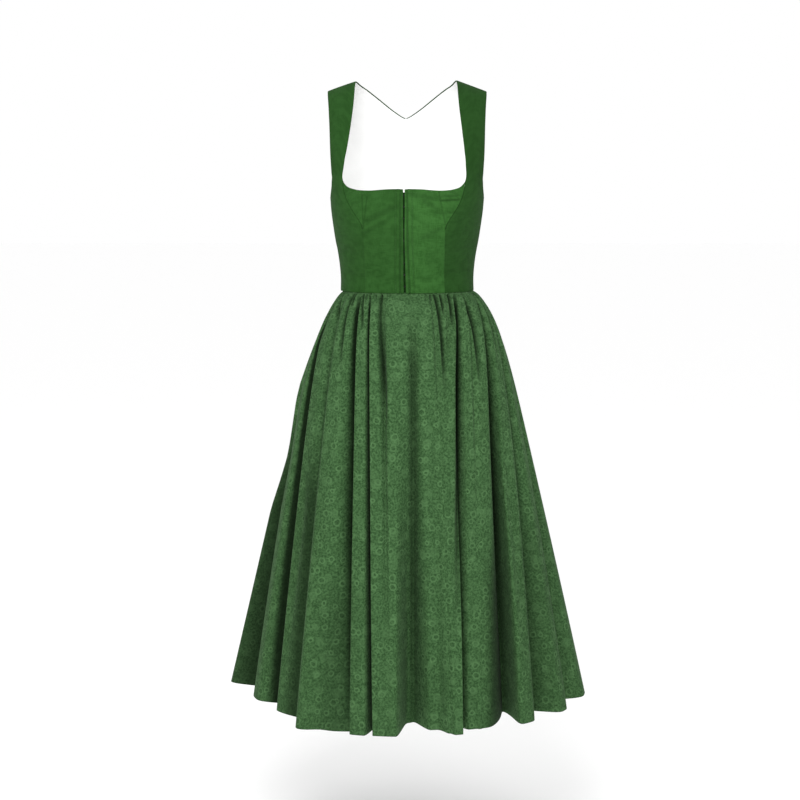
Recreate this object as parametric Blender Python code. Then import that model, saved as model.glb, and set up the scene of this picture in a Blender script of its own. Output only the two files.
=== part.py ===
"""A sleeveless dirndl dress: a darted bodice on wide straps with its lining, and a gathered skirt.

Metres, +Z up, front towards -Y. The origin lies between the two shoulder seams, where a wearer holds it up.
Every panel is a loft between unlike sections, made as a wall: an outside and an inside sheet with a closed rim.
"""

import math

import bpy
import numpy as np

# Driving sizes
WAIST_HEIGHT = -0.372
SKIRT_LENGTH = 0.728
SEAM_GAP = 0.0003
SKIRT_TOP = WAIST_HEIGHT - SEAM_GAP
WALL = 0.001
LAYER_GAP = 0.0003
CLOSURE_GAP = 0.0024
UNDERLAP_SHARE = 0.16
EDGE_WIDTH = 0.0020
SIDE_GAP_TURN = 0.0016
BUST_HALF_SPACING = 0.072
BUST_SPREAD = 0.040
NECK_HALF_WIDTH = 0.089
SHOULDER_TURN = 60.4
ROUNDING = 0.030

# The bodice's sections from the waist to the shoulder line. The last row lies past that line, so that the
# straps curve over it. boxy is the section's superellipse power, bust the fullness that the darts give,
# slope how fast the section falls outwards, and shift how far the front's lines stand off the middle.
BODICE_COLUMNS = ("height", "half_width", "front", "back", "middle", "boxy", "bust", "slope", "shift")
BODICE_SECTIONS = (
    (-0.372, 0.1187, 0.095, 0.086, 0.000, 2.00, 0.000, 0.00, -0.0040),
    (-0.345, 0.1188, 0.099, 0.087, 0.000, 2.08, 0.002, 0.00, -0.0050),
    (-0.312, 0.1222, 0.108, 0.089, 0.000, 2.20, 0.007, 0.00, -0.0055),
    (-0.282, 0.1275, 0.117, 0.092, 0.000, 2.32, 0.012, 0.00, -0.0060),
    (-0.255, 0.1315, 0.123, 0.095, 0.000, 2.40, 0.015, 0.00, -0.0062),
    (-0.227, 0.1352, 0.121, 0.098, 0.000, 2.40, 0.012, 0.00, -0.0062),
    (-0.196, 0.1378, 0.114, 0.101, 0.000, 2.40, 0.006, 0.00, -0.0062),
    (-0.165, 0.1420, 0.105, 0.104, 0.000, 2.40, 0.002, 0.00, -0.0055),
    (-0.130, 0.1480, 0.096, 0.105, 0.001, 2.40, 0.000, 0.00, -0.0035),
    (-0.095, 0.1520, 0.085, 0.100, 0.003, 2.40, 0.000, 0.04, -0.0025),
    (-0.060, 0.1540, 0.070, 0.087, 0.006, 2.40, 0.000, 0.12, -0.0020),
    (-0.030, 0.1550, 0.051, 0.065, 0.008, 2.40, 0.000, 0.24, -0.0020),
    (-0.009, 0.1560, 0.028, 0.036, 0.010, 2.40, 0.000, 0.33, -0.0020),
    (0.000, 0.1560, 0.000, 0.000, 0.010, 2.40, 0.000, 0.36, -0.0020),
    (-0.009, 0.1560, -0.028, -0.036, 0.010, 2.40, 0.000, 0.33, -0.0020),
)
SHOULDER_STATION = len(BODICE_SECTIONS) - 2
SHOULDER_GAP = 0.0075
UNDERARM_STATION = 6

# Outlines of one half, by distance out from the front's middle and height.
PATH_COLUMNS = ("out", "height")
NECKLINE_FRONT = (
    (0.0000, -0.1900),
    (0.0300, -0.1902),
    (0.0560, -0.1922),
    (0.0760, -0.1918),
    (0.0900, -0.1895),
    (0.1000, -0.1855),
)
NECK_CORNER = (0.1076, -0.1770)
STRAP_INNER = (
    (0.1088, -0.1670),
    (0.1071, -0.1500),
    (0.1022, -0.1180),
    (0.0968, -0.0780),
    (0.0922, -0.0360),
)
SPLIT_POINT = (0.1015, -0.2050)
PRINCESS_SEAM = (
    (0.0705, -0.3720),
    (0.0705, -0.3300),
    (0.0710, -0.2900),
    (0.0722, -0.2570),
    (0.0778, -0.2440),
    (0.0865, -0.2310),
    (0.0950, -0.2180),
)
PRINCESS_TOP = ((0.1056, -0.1905),)
NECKLINE_BACK = (
    (0.0000, -0.0635),
    (0.0110, -0.0575),
    (0.0310, -0.0430),
    (0.0530, -0.0255),
    (0.0710, -0.0120),
    (0.0820, -0.0048),
)

# The armhole of one half, by the turn round from the front's middle in degrees and the height.
ARMHOLE_COLUMNS = ("turn", "height")
ARMHOLE_FRONT = (
    (90.0, -0.2050),
    (84.0, -0.2035),
    (77.0, -0.1975),
    (70.5, -0.1850),
    (66.0, -0.1630),
    (62.0, -0.1300),
    (59.8, -0.0950),
    (59.6, -0.0620),
    (60.0, -0.0370),
)
ARMHOLE_BACK = (
    (90.0, -0.2050),
    (96.5, -0.2035),
    (104.0, -0.1970),
    (110.5, -0.1830),
    (115.0, -0.1580),
    (117.8, -0.1240),
    (119.2, -0.0900),
    (119.8, -0.0600),
    (119.8, -0.0370),
)

# The skirt's rings: a quick puff under the waist seam, a rounder one below it, and a straight flare.
SEAM_PUFF = 0.0040
SEAM_PUFF_DROP = 0.0030
HIP_PUFF = 0.0340
HIP_PUFF_DROP = 0.0460
SIDE_FLARE = 0.2300
FRONT_FLARE = 0.2560
BACK_FLARE = 0.2420
SPREAD_POWER = 0.30
SPREAD_START = 0.002
DEPTH_START = 0.004

# The skirt's folds, valley by valley from the wearer's right side seam across the front: the turn at which
# each one starts at the waist and ends at the hem, in degrees, how deep it is 90 mm down, 320 mm down and
# at the hem, how narrow it is, and where the crest after it ends at the hem and how far it stands out there.
FOLD_COLUMNS = ("name", "waist", "hem", "near", "mid", "foot", "pinch", "crest", "swell")
FOLDS = (
    ("right_seam", -91.0, -86.0, 0.015, 0.034, 0.062, 1.3, -72.0, -0.022),
    ("right_outer", -76.0, -61.0, 0.020, 0.042, 0.070, 2.0, -51.0, -0.014),
    ("right_soft", -60.5, -41.0, 0.014, 0.022, 0.045, 1.3, -32.0, 0.016),
    ("right_deep", -51.0, -21.3, 0.027, 0.052, 0.060, 3.6, -16.0, 0.002),
    ("right_narrow", -34.0, -11.6, 0.022, 0.036, 0.055, 4.2, -9.2, 0.000),
    ("right_short", -24.0, -7.0, 0.014, 0.008, 0.000, 1.8, -4.8, 0.000),
    ("middle_wide", 3.0, 1.0, 0.004, 0.022, 0.078, 0.5, 8.0, -0.035),
    ("left_short", 24.5, 10.5, 0.014, 0.008, 0.022, 1.8, 14.8, 0.000),
    ("left_deep", 47.0, 21.0, 0.026, 0.050, 0.064, 3.6, 24.8, -0.022),
    ("left_fading", 55.5, 27.5, 0.014, 0.012, 0.022, 1.4, 29.5, -0.020),
    ("left_open", 80.0, 35.0, 0.030, 0.058, 0.085, 2.2, 41.0, -0.004),
    ("left_soft", 95.0, 51.0, 0.010, 0.024, 0.055, 1.2, 58.0, 0.000),
    ("left_outer", 106.0, 68.5, 0.013, 0.026, 0.045, 1.5, 78.5, 0.004),
    ("left_seam", 117.0, 90.0, 0.015, 0.034, 0.062, 1.3, 99.0, 0.002),
    ("back_1", 129.0, 107.0, 0.018, 0.038, 0.058, 1.6, 115.5, -0.006),
    ("back_2", 141.0, 123.0, 0.015, 0.032, 0.066, 1.3, 132.0, 0.006),
    ("back_3", 154.0, 140.0, 0.021, 0.044, 0.060, 3.0, 148.0, -0.004),
    ("back_4", 165.0, 155.5, 0.014, 0.028, 0.052, 1.3, 165.5, 0.004),
    ("back_5", 178.0, 174.0, 0.019, 0.042, 0.070, 1.7, 182.5, -0.008),
    ("back_6", 190.0, 190.5, 0.017, 0.034, 0.050, 3.0, 199.0, 0.008),
    ("back_7", 203.0, 208.0, 0.021, 0.046, 0.066, 2.4, 216.0, -0.004),
    ("back_8", 216.0, 224.0, 0.014, 0.030, 0.056, 1.3, 232.5, 0.004),
    ("back_9", 230.0, 241.0, 0.019, 0.040, 0.064, 1.8, 249.0, -0.006),
    ("back_10", 246.0, 257.5, 0.015, 0.034, 0.058, 1.4, 264.5, 0.004),
)
LEFT_SEAM_FOLD = 13
SEAM_DEPTH = 0.0012
GATHERS_PER_FOLD = 2
GATHER_DEPTH = 0.0042
GATHER_DROP = 0.055
GATHER_START = 0.004
PLAIN_FRONT_TURN = 22.0

# How finely the panels are divided
SKIRT_ROWS = 12
ROW_POWER = 2.2
HALF_FOLD_STEPS = 4
CENTRE_SHARES = (0.42, 0.64, 0.78, 0.87, 0.94, 1.0)
SIDE_COLUMNS = 5
BACK_COLUMNS = 7
LOWER_ROWS = 8
CORNER_ROWS = 3
STRAP_ROWS = 9
BACK_MIDDLE_ROWS = 6
BACK_STRAP_ROWS = 6
BACK_EDGE_SHARE = 0.008

FINISHES = {
    "linen": ((0.030, 0.095, 0.022, 1.0), 0.85),
    "print": ((0.050, 0.130, 0.042, 1.0), 0.88),
    "lining": ((0.900, 0.900, 0.890, 1.0), 0.90),
}
STEP = 1e-4
SHARP_ANGLE = math.radians(60)
COLLECTION = "dirndl_dress"


def smooth(rows, at):
    """Rows of a table read between its rows, on a Catmull-Rom curve: 0 is the first row."""
    rows = np.asarray(rows, float)
    padded = np.concatenate((2 * rows[:1] - rows[1:2], rows, 2 * rows[-1:] - rows[-2:-1]))
    at = np.clip(np.asarray(at, float), 0, len(rows) - 1)
    first = np.minimum(at.astype(int), len(rows) - 2)
    part = (at - first)[..., None]
    before, low, high, after = (padded[first + step] for step in range(4))
    bend = 2 * before - 5 * low + 4 * high - after
    twist = 3 * (low - high) + after - before
    return low + 0.5 * part * (high - before + part * (bend + part * twist))


def section(station):
    """The named sizes of the bodice's section at this station of its table."""
    values = smooth(BODICE_SECTIONS, station)
    return {name: values[..., index] for index, name in enumerate(BODICE_COLUMNS)}


def fall(out, slope):
    """How far a section drops at this distance out. It is nothing at the neck."""
    return slope * (np.sqrt(out**2 + ROUNDING**2) - math.hypot(NECK_HALF_WIDTH, ROUNDING))


def bodice_point(turn, station):
    """The outside of the bodice. The turn runs from the front's middle towards +X, in radians."""
    size = section(station)
    sine, cosine = np.sin(turn), np.cos(turn)
    power = size["boxy"]
    unit = (np.abs(sine) ** power + np.abs(cosine) ** power) ** (1 / power)
    out = size["half_width"] * sine / unit
    depth = np.where(cosine > 0, size["front"], size["back"])
    from_bust = (np.abs(out - size["shift"]) - BUST_HALF_SPACING) / BUST_SPREAD
    fullness = size["bust"] * np.exp(-(from_bust**2)) * np.clip(cosine * 3, 0, 1)
    deep = size["middle"] - depth * cosine / unit - fullness
    return np.stack([out, deep, size["height"] - fall(out, size["slope"])], axis=-1)


def station_of(out, height):
    """The station of the section that passes this height at this distance out."""
    low = np.zeros(np.broadcast(out, height).shape)
    high = low + SHOULDER_STATION
    for _ in range(40):
        middle = (low + high) / 2
        size = section(middle)
        under = size["height"] - fall(out, size["slope"]) < height
        low, high = np.where(under, middle, low), np.where(under, high, middle)
    return middle


def turn_of(out, station, behind):
    """The turn at which a section reaches this distance out, in front or behind."""
    size = section(station)
    share = np.clip(out / size["half_width"], -1, 1)
    rest = (1 - np.abs(share) ** size["boxy"]) ** (1 / size["boxy"])
    return np.arctan2(share, -rest if behind else rest)


def seat(points, side, behind=False):
    """Turn and station of points given by distance out and height, on one side of the body."""
    out, height = np.moveaxis(np.asarray(points, float), -1, 0)
    station = station_of(side * out, height)
    out = side * out + section(station)["shift"]
    station = station_of(out, height)
    turn = turn_of(out, station, behind)
    if behind:
        turn = side * ((side * turn) % (2 * math.pi))
    return np.stack([turn, station], axis=-1)


def seat_armhole(points, side):
    """Turn and station of points given by turn in degrees and height."""
    turn, height = np.radians([row[0] for row in points]), np.array([row[1] for row in points])
    station = np.full(len(points), SHOULDER_STATION / 2)
    for _ in range(6):
        station = station_of(bodice_point(turn, station)[:, 0], height)
    return np.stack([side * turn, station], axis=1)


def shoulder_end(side, inner, behind):
    """Turn and station of a strap's inner or outer corner at the shoulder seam."""
    station = SHOULDER_STATION - SHOULDER_GAP
    if inner:
        out = side * NECK_HALF_WIDTH + section(station)["shift"]
        return np.array([[turn_of(out, station, behind), station]])
    turn = math.pi - math.radians(SHOULDER_TURN) if behind else math.radians(SHOULDER_TURN)
    return np.array([[side * turn, station]])


def along(points, shares, surface=None):
    """Points at these shares of the length of a smooth curve through the given ones."""
    fine = smooth(points, np.linspace(0, len(points) - 1, 24 * len(points)))
    seen = surface(fine[:, 0], fine[:, 1]) if surface else fine
    lengths = np.concatenate([[0], np.cumsum(np.linalg.norm(np.diff(seen, axis=0), axis=1))])
    wanted = np.asarray(shares) * lengths[-1]
    return np.stack([np.interp(wanted, lengths, fine[:, axis]) for axis in (0, 1)], axis=1)


def ruled(first, last, across):
    """A grid of straight rows from each first point to its last one."""
    return first[:, None] + np.asarray(across)[..., None] * (last - first)[:, None]


def edged(first, last, count):
    """A grid of straight rows on the bodice, with a line an edge's width inside both of its sides."""
    share = EDGE_WIDTH / np.linalg.norm(bodice_point(*first.T) - bodice_point(*last.T), axis=1)
    shares = np.linspace(share, 1 - share, count + 1, axis=1)
    return ruled(first, last, np.pad(np.pad(shares, ((0, 0), (1, 0))), ((0, 0), (0, 1)), constant_values=1.0))


def princess(offset):
    """The seam from the waist up to the neckline's corner, moved out by an offset."""
    low = along(np.array(PRINCESS_SEAM + (SPLIT_POINT,)), np.linspace(0, 1, LOWER_ROWS + 1))
    high = along(np.array((SPLIT_POINT,) + PRINCESS_TOP + (NECK_CORNER,)), np.linspace(0, 1, CORNER_ROWS + 1))
    return np.concatenate([low, high[1:]]) + (offset, 0)


def centre_front(side):
    """Places of the panel between the closure and the princess seam, up to the neckline."""
    seam = princess(-SEAM_GAP / 2)
    lining_start = UNDERLAP_SHARE + SEAM_GAP / seam[0, 0]
    across = np.concatenate([[0.0, UNDERLAP_SHARE, lining_start], CENTRE_SHARES])
    neckline = np.array(NECKLINE_FRONT + (tuple(seam[-1]),))
    neckline[0, 0] = CLOSURE_GAP / 2
    top = along(neckline, across)
    up = (seam[:, 1] - seam[0, 1]) / (seam[-1, 1] - seam[0, 1])
    waist = ruled(np.array([[CLOSURE_GAP / 2, WAIST_HEIGHT]]), seam[:1], across)[0]
    closure = ruled(waist[:1], top[:1], up)[0]
    rise = up[:, None, None]
    corners = (1 - rise) * ruled(waist[:1], waist[-1:], across) + rise * ruled(top[:1], top[-1:], across)
    rows = ruled(closure, seam, across) + (1 - rise) * waist + rise * top - corners
    below = rows[-2:-1] - rows[-1:]
    edge = rows[-1:] + below * EDGE_WIDTH / np.linalg.norm(below, axis=-1, keepdims=True)
    return seat(np.concatenate([rows[:-1], edge, rows[-1:]]), side)


def side_seam(side, turned):
    """Places up the side seam, just in front of it or behind it."""
    turn, height = np.radians(ARMHOLE_FRONT[0][0]), ARMHOLE_FRONT[0][1]
    top = float(station_of(bodice_point(turn, UNDERARM_STATION)[0], height))
    stations = np.linspace(0, top, LOWER_ROWS + 1)
    return np.stack([np.full(len(stations), side * (turn + turned * SIDE_GAP_TURN)), stations], axis=1)


def steps(count):
    """Even shares from 0 to 1."""
    return np.linspace(0, 1, count + 1)


def side_front(side):
    """Places of the panel from the princess seam to the side seam, which runs on up as the front strap."""
    strap = np.concatenate([seat((NECK_CORNER,) + STRAP_INNER, side), shoulder_end(side, True, False)])
    strap = along(strap, steps(STRAP_ROWS), bodice_point)
    inner = np.concatenate([seat(princess(SEAM_GAP / 2), side), strap[1:]])
    seam = side_seam(side, -1)
    ends = seam[-1:], shoulder_end(side, False, False)
    armhole = np.concatenate([ends[0], seat_armhole(ARMHOLE_FRONT[1:], side), ends[1]])
    armhole = along(armhole, steps(CORNER_ROWS + STRAP_ROWS), bodice_point)
    return edged(inner, np.concatenate([seam, armhole[1:]]), SIDE_COLUMNS)


def half_back(side):
    """Places of one half of the back, from the side seam and the armhole to the middle and the neckline."""
    seam = side_seam(side, 1)
    ends = seam[-1:], shoulder_end(side, False, True)
    armhole = np.concatenate([ends[0], seat_armhole(ARMHOLE_BACK[1:], side), ends[1]])
    shares = steps(BACK_MIDDLE_ROWS + BACK_STRAP_ROWS)
    shares = np.insert(shares, BACK_MIDDLE_ROWS, shares[BACK_MIDDLE_ROWS] - BACK_EDGE_SHARE)
    armhole = along(armhole, shares, bodice_point)
    neckline = np.concatenate([seat(NECKLINE_BACK, side, True), shoulder_end(side, True, True)])
    low = np.linspace(seam[-1, 1], neckline[0, 1], BACK_MIDDLE_ROWS + 1)
    under = station_of(np.zeros(1), NECKLINE_BACK[0][1] - EDGE_WIDTH)
    low = np.concatenate([seam[:, 1], low[1:-1], under, low[-1:]])
    turn = turn_of(section(low)["shift"], low, True)
    middle = np.stack([side * ((side * turn) % (2 * math.pi)), low], axis=1)
    neckline = along(neckline, steps(BACK_STRAP_ROWS), bodice_point)
    inner = np.concatenate([middle, neckline[1:]])
    return edged(np.concatenate([seam, armhole[1:]]), inner, BACK_COLUMNS)


def grid_quads(grid, turned, keep=None):
    """Each quad of a grid of places that keep allows, as four point numbers going round to face outwards."""
    rows, columns = grid.shape[:2]
    quads = []
    for row in range(rows - 1):
        for column in range(columns - 1):
            start = row * columns + column
            quad = (start, start + 1, start + columns + 1, start + columns)
            if keep is None or keep(row, column):
                quads.append(quad[::-1] if turned else quad)
    return quads


def material(finish):
    """The Principled material of one kind of cloth."""
    made = bpy.data.materials.get(finish)
    if made:
        return made
    made = bpy.data.materials.new(finish)
    made.use_nodes = True
    shader = made.node_tree.nodes["Principled BSDF"]
    shader.inputs["Base Color"].default_value, shader.inputs["Roughness"].default_value = FINISHES[finish]
    return made


def wall(name, finish, surface, places, quads, depth=0.0):
    """A cloth wall whose outside lies this deep under the surface, with a closed rim."""
    used, quads = np.unique(np.asarray(quads), return_inverse=True)
    first, second = np.asarray(places).reshape(-1, 2)[used].T
    points = surface(first, second)
    across = surface(first + STEP, second) - surface(first - STEP, second)
    upwards = surface(first, second + STEP) - surface(first, second - STEP)
    outward = np.cross(across, upwards)
    outward /= np.linalg.norm(outward, axis=1, keepdims=True)
    outside = []
    for a, b, c, d in quads.reshape(-1, 4).tolist():
        if np.linalg.norm(points[a] - points[c]) <= np.linalg.norm(points[b] - points[d]):
            outside += [(a, b, c), (a, c, d)]
        else:
            outside += [(a, b, d), (b, c, d)]
    count = len(used)
    sides = {(face[step - 1], face[step]) for face in outside for step in range(3)}
    inside = [(a + count, c + count, b + count) for a, b, c in outside]
    free = sorted(side for side in sides if side[::-1] not in sides)
    rim = [face for a, b in free for face in ((b, a, a + count), (b, a + count, b + count))]
    points = np.concatenate([points - outward * depth, points - outward * (depth + WALL)])
    mesh = bpy.data.meshes.new(name)
    mesh.from_pydata(points.tolist(), [], outside + inside + rim)
    mesh.materials.append(material(finish))
    mesh.shade_smooth()
    mesh.set_sharp_from_angle(angle=SHARP_ANGLE)
    piece = bpy.data.objects.new(name, mesh)
    bpy.data.collections[COLLECTION].objects.link(piece)


def layered(name, places, quads, lining_quads):
    """A bodice panel and the lining that lies under it, made from the same places."""
    wall(f"bodice_{name}", "linen", bodice_point, places, quads)
    wall(f"lining_{name}", "lining", bodice_point, places, lining_quads, WALL + LAYER_GAP)


def build_fronts():
    """Both centre fronts, the underlap behind their closure, and both side fronts with their straps."""
    centres = {side: centre_front(side) for side in (1, -1)}
    for side, word in ((1, "left"), (-1, "right")):
        grid, turned = centres[side], side < 0
        rows = len(grid) - 2
        lined = grid_quads(grid, turned, lambda row, column: row < rows and column > 1)
        layered(f"front_{word}", grid, grid_quads(grid, turned), lined)
        grid = side_front(side)
        last = grid.shape[1] - 2

        def beside(row, column):
            return row < LOWER_ROWS or (column < last and (column > 0 or row < LOWER_ROWS + CORNER_ROWS))

        layered(f"side_front_{word}", grid, grid_quads(grid, turned), grid_quads(grid, turned, beside))
    right, left = centres[-1][:-1], centres[1][:-1]
    strip = np.stack([right[:, 1], right[:, 0], left[:, 0], left[:, 1]], axis=1)
    wall("closure_underlap", "linen", bodice_point, strip, grid_quads(strip, False), WALL + LAYER_GAP)


def build_back():
    """The back, cut in one with both back straps, and its lining."""
    halves = {side: half_back(side) for side in (1, -1)}
    shape = halves[1].shape
    places = np.concatenate([halves[1].reshape(-1, 2), halves[-1].reshape(-1, 2)])
    spots = np.round(bodice_point(*places.T), 6).tolist()
    seen = {}
    same = [seen.setdefault(tuple(spot), number) for number, spot in enumerate(spots)]
    last = shape[1] - 2
    middle = LOWER_ROWS + BACK_MIDDLE_ROWS + 1

    def lined(row, column):
        if row < LOWER_ROWS:
            return True
        if row < middle - 1:
            return column > 0
        return 0 < column < last

    quads = {}
    for kind, keep in (("shell", None), ("lining", lined)):
        left, right = grid_quads(halves[1], False, keep), grid_quads(halves[-1], True, keep)
        both = left + [tuple(number + shape[0] * shape[1] for number in quad) for quad in right]
        quads[kind] = [tuple(same[number] for number in quad) for quad in both]
    layered("back", places, quads["shell"], quads["lining"])


def fold_sizes(place):
    """The rows of the fold table on both sides of a crest, by their names, with the part from one to the other."""
    table = {name: np.array([row[index] for row in FOLDS]) for index, name in enumerate(FOLD_COLUMNS) if index}
    number = np.floor(place).astype(int)
    count = len(FOLDS)
    here = {name: values[number % count] for name, values in table.items()}
    after = {name: values[(number + 1) % count] for name, values in table.items()}
    for sizes, laps in ((here, number // count), (after, (number + 1) // count)):
        for name in ("waist", "hem", "crest"):
            sizes[name] = sizes[name] + 360 * laps
    return here, after, place - number


def eased(share, power, start):
    """A power of a share from 0 to 1 that sets off less steeply."""
    return ((share + start) ** power - start**power) / ((1 + start) ** power - start**power)


def skirt_point(place, height):
    """The outside of the skirt: place counts the folds round from the wearer's right side seam."""
    place, drop = np.broadcast_arrays(np.asarray(place, float), SKIRT_TOP - np.asarray(height, float))
    here, after, part = fold_sizes(place)
    down = np.clip(drop / SKIRT_LENGTH, 0, 1)
    spread = eased(down, SPREAD_POWER, SPREAD_START)
    crest = (here["waist"] + after["waist"]) / 2 * (1 - spread) + here["crest"] * spread
    rising = part < 0.5
    near = {name: np.where(rising, here[name], after[name]) for name in here}
    valley = near["waist"] * (1 - spread) + near["hem"] * spread
    away = np.where(rising, part, 1 - part) * 2
    turn = np.radians(valley + (crest - valley) * away)
    low = (1 + np.cos(math.pi * away)) / 2
    pinched = np.where(near["pinch"] >= 1, low ** near["pinch"], 1 - (1 - low) ** (1 / near["pinch"]))
    at = 3 * eased(down, 1 / ROW_POWER, DEPTH_START)
    knots = np.stack([np.full_like(near["near"], SEAM_DEPTH), near["near"], near["mid"], near["foot"]], axis=-1)
    depth = read_knots(knots, at)
    inward = depth * pinched - here["swell"] * down * (1 - pinched)
    plain = np.exp(-((np.degrees(turn) / PLAIN_FRONT_TURN) ** 2))
    gather = GATHER_DEPTH * np.exp(-drop / GATHER_DROP) * (1 - np.exp(-drop / GATHER_START)) * (1 - plain)
    inward = inward + gather * (1 - np.cos(2 * math.pi * GATHERS_PER_FOLD * place)) / 2
    puff = SEAM_PUFF * (1 - np.exp(-drop / SEAM_PUFF_DROP)) + HIP_PUFF * (1 - np.exp(-drop / HIP_PUFF_DROP))
    waist = section(np.array(0.0))
    behind = np.cos(turn) < 0
    wide = waist["half_width"] + puff + SIDE_FLARE * drop
    deep = np.where(behind, waist["back"] + BACK_FLARE * drop, waist["front"] + FRONT_FLARE * drop) + puff
    out, away_from = wide * np.sin(turn), -deep * np.cos(turn)
    scale = 1 - inward / np.hypot(out, away_from)
    return np.stack([out * scale, away_from * scale, SKIRT_TOP - drop], axis=-1)


def read_knots(knots, at):
    """Values between four evenly spaced knots, each point with its own knots."""
    first = np.minimum(at.astype(int), 2)
    part = at - first
    ends = 2 * knots[..., :1] - knots[..., 1:2], 2 * knots[..., -1:] - knots[..., -2:-1]
    padded = np.concatenate([ends[0], knots, ends[1]], axis=-1)
    read = (np.take_along_axis(padded, (first + step)[..., None], -1)[..., 0] for step in range(4))
    before, low, high, after = read
    bend = 2 * before - 5 * low + 4 * high - after
    twist = 3 * (low - high) + after - before
    return low + 0.5 * part * (high - before + part * (bend + part * twist))


def build_skirt():
    """The skirt's front and back, joined at side seams that lie in two of the valleys."""
    heights = SKIRT_TOP - SKIRT_LENGTH * steps(SKIRT_ROWS)[::-1] ** ROW_POWER
    for name, first, last in (("front", 0, LEFT_SEAM_FOLD), ("back", LEFT_SEAM_FOLD, len(FOLDS))):
        columns = np.linspace(first, last, (last - first) * HALF_FOLD_STEPS * 2 + 1)
        grid = np.stack(np.broadcast_arrays(columns[None], heights[:, None]), axis=-1).copy()
        for end, way in ((0, 1), (-1, -1)):
            spots = grid[:, end]
            ahead = skirt_point(spots[:, 0] + way * STEP, spots[:, 1]) - skirt_point(*spots.T)
            spots[:, 0] += way * STEP * SEAM_GAP / 2 / np.linalg.norm(ahead, axis=1)
        wall(f"skirt_{name}", "print", skirt_point, grid, grid_quads(grid, False))


def main():
    for leftover in list(bpy.data.objects):
        bpy.data.objects.remove(leftover, do_unlink=True)
    bpy.context.scene.collection.children.link(bpy.data.collections.new(COLLECTION))
    build_fronts()
    build_back()
    build_skirt()


main()
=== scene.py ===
"""The looks of a sleeveless dirndl dress: linen, lining, printed skirt, sewing, hooks and stage.

Metres, +Z up, front towards -Y; left and right are the wearer's. Every sheet of cloth is worked out on the
sections of the solid model, with finer folds, small gathers and creases placed one by one.
"""

import math

import bpy
import numpy as np
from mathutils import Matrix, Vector


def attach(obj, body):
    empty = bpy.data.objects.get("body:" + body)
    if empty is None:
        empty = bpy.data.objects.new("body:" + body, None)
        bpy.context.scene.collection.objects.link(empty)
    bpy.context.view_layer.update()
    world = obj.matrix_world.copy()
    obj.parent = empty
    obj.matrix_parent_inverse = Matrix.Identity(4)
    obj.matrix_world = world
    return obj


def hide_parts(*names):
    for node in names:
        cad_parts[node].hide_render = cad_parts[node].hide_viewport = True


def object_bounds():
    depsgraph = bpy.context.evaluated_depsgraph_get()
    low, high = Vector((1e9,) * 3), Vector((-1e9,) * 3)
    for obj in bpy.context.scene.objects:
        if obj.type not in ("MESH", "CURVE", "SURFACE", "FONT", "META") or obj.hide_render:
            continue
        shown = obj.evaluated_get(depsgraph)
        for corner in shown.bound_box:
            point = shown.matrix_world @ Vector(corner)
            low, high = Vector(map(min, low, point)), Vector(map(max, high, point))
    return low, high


bl_info = {
    "name": "Dirndl Dress",
    "version": (1, 0, 0),
    "blender": (4, 5, 0),
    "location": "View3D > Sidebar > Dirndl",
    "description": "Builds the cloth, sewing and stage of a dirndl dress on its packed frame",
    "category": "Object",
}

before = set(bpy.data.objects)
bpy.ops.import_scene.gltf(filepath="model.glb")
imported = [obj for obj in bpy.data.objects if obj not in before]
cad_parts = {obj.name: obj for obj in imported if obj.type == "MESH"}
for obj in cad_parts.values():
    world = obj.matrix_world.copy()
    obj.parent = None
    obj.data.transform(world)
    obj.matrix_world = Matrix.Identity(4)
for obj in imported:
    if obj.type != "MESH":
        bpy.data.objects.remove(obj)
CAD_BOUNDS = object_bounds()

# Driving sizes, as in the solid model
WAIST_HEIGHT = -0.372
SKIRT_LENGTH = 0.728
SEAM_GAP = 0.0003
SKIRT_TOP = WAIST_HEIGHT - SEAM_GAP
CLOSURE_GAP = 0.0024
BUST_HALF_SPACING = 0.072
BUST_SPREAD = 0.040
BUST_FADING = 3
NECK_HALF_WIDTH = 0.089
SHOULDER_TURN = 60.4
ROUNDING = 0.030

# Sections of the bodice, from the waist up and over the shoulder
BODICE_COLUMNS = ("height", "half_width", "front", "back", "middle", "boxy", "bust", "slope", "shift")
BODICE_SECTIONS = (
    (-0.372, 0.1187, 0.095, 0.086, 0.000, 2.00, 0.000, 0.00, -0.0040),
    (-0.345, 0.1188, 0.099, 0.087, 0.000, 2.08, 0.002, 0.00, -0.0050),
    (-0.312, 0.1222, 0.108, 0.089, 0.000, 2.20, 0.007, 0.00, -0.0055),
    (-0.282, 0.1275, 0.117, 0.092, 0.000, 2.32, 0.012, 0.00, -0.0060),
    (-0.255, 0.1315, 0.123, 0.095, 0.000, 2.40, 0.015, 0.00, -0.0062),
    (-0.227, 0.1352, 0.121, 0.098, 0.000, 2.40, 0.012, 0.00, -0.0062),
    (-0.196, 0.1378, 0.114, 0.101, 0.000, 2.40, 0.006, 0.00, -0.0062),
    (-0.165, 0.1420, 0.105, 0.104, 0.000, 2.40, 0.002, 0.00, -0.0055),
    (-0.130, 0.1480, 0.096, 0.105, 0.001, 2.40, 0.000, 0.00, -0.0035),
    (-0.095, 0.1520, 0.085, 0.100, 0.003, 2.40, 0.000, 0.04, -0.0025),
    (-0.060, 0.1540, 0.070, 0.087, 0.006, 2.40, 0.000, 0.12, -0.0020),
    (-0.030, 0.1550, 0.051, 0.065, 0.008, 2.40, 0.000, 0.24, -0.0020),
    (-0.009, 0.1560, 0.028, 0.036, 0.010, 2.40, 0.000, 0.33, -0.0020),
    (0.000, 0.1560, 0.000, 0.000, 0.010, 2.40, 0.000, 0.36, -0.0020),
    (-0.009, 0.1560, -0.028, -0.036, 0.010, 2.40, 0.000, 0.33, -0.0020),
)
SHOULDER_STATION = len(BODICE_SECTIONS) - 2
SHOULDER_GAP = 0.0012
UNDERARM_STATION = 6

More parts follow.
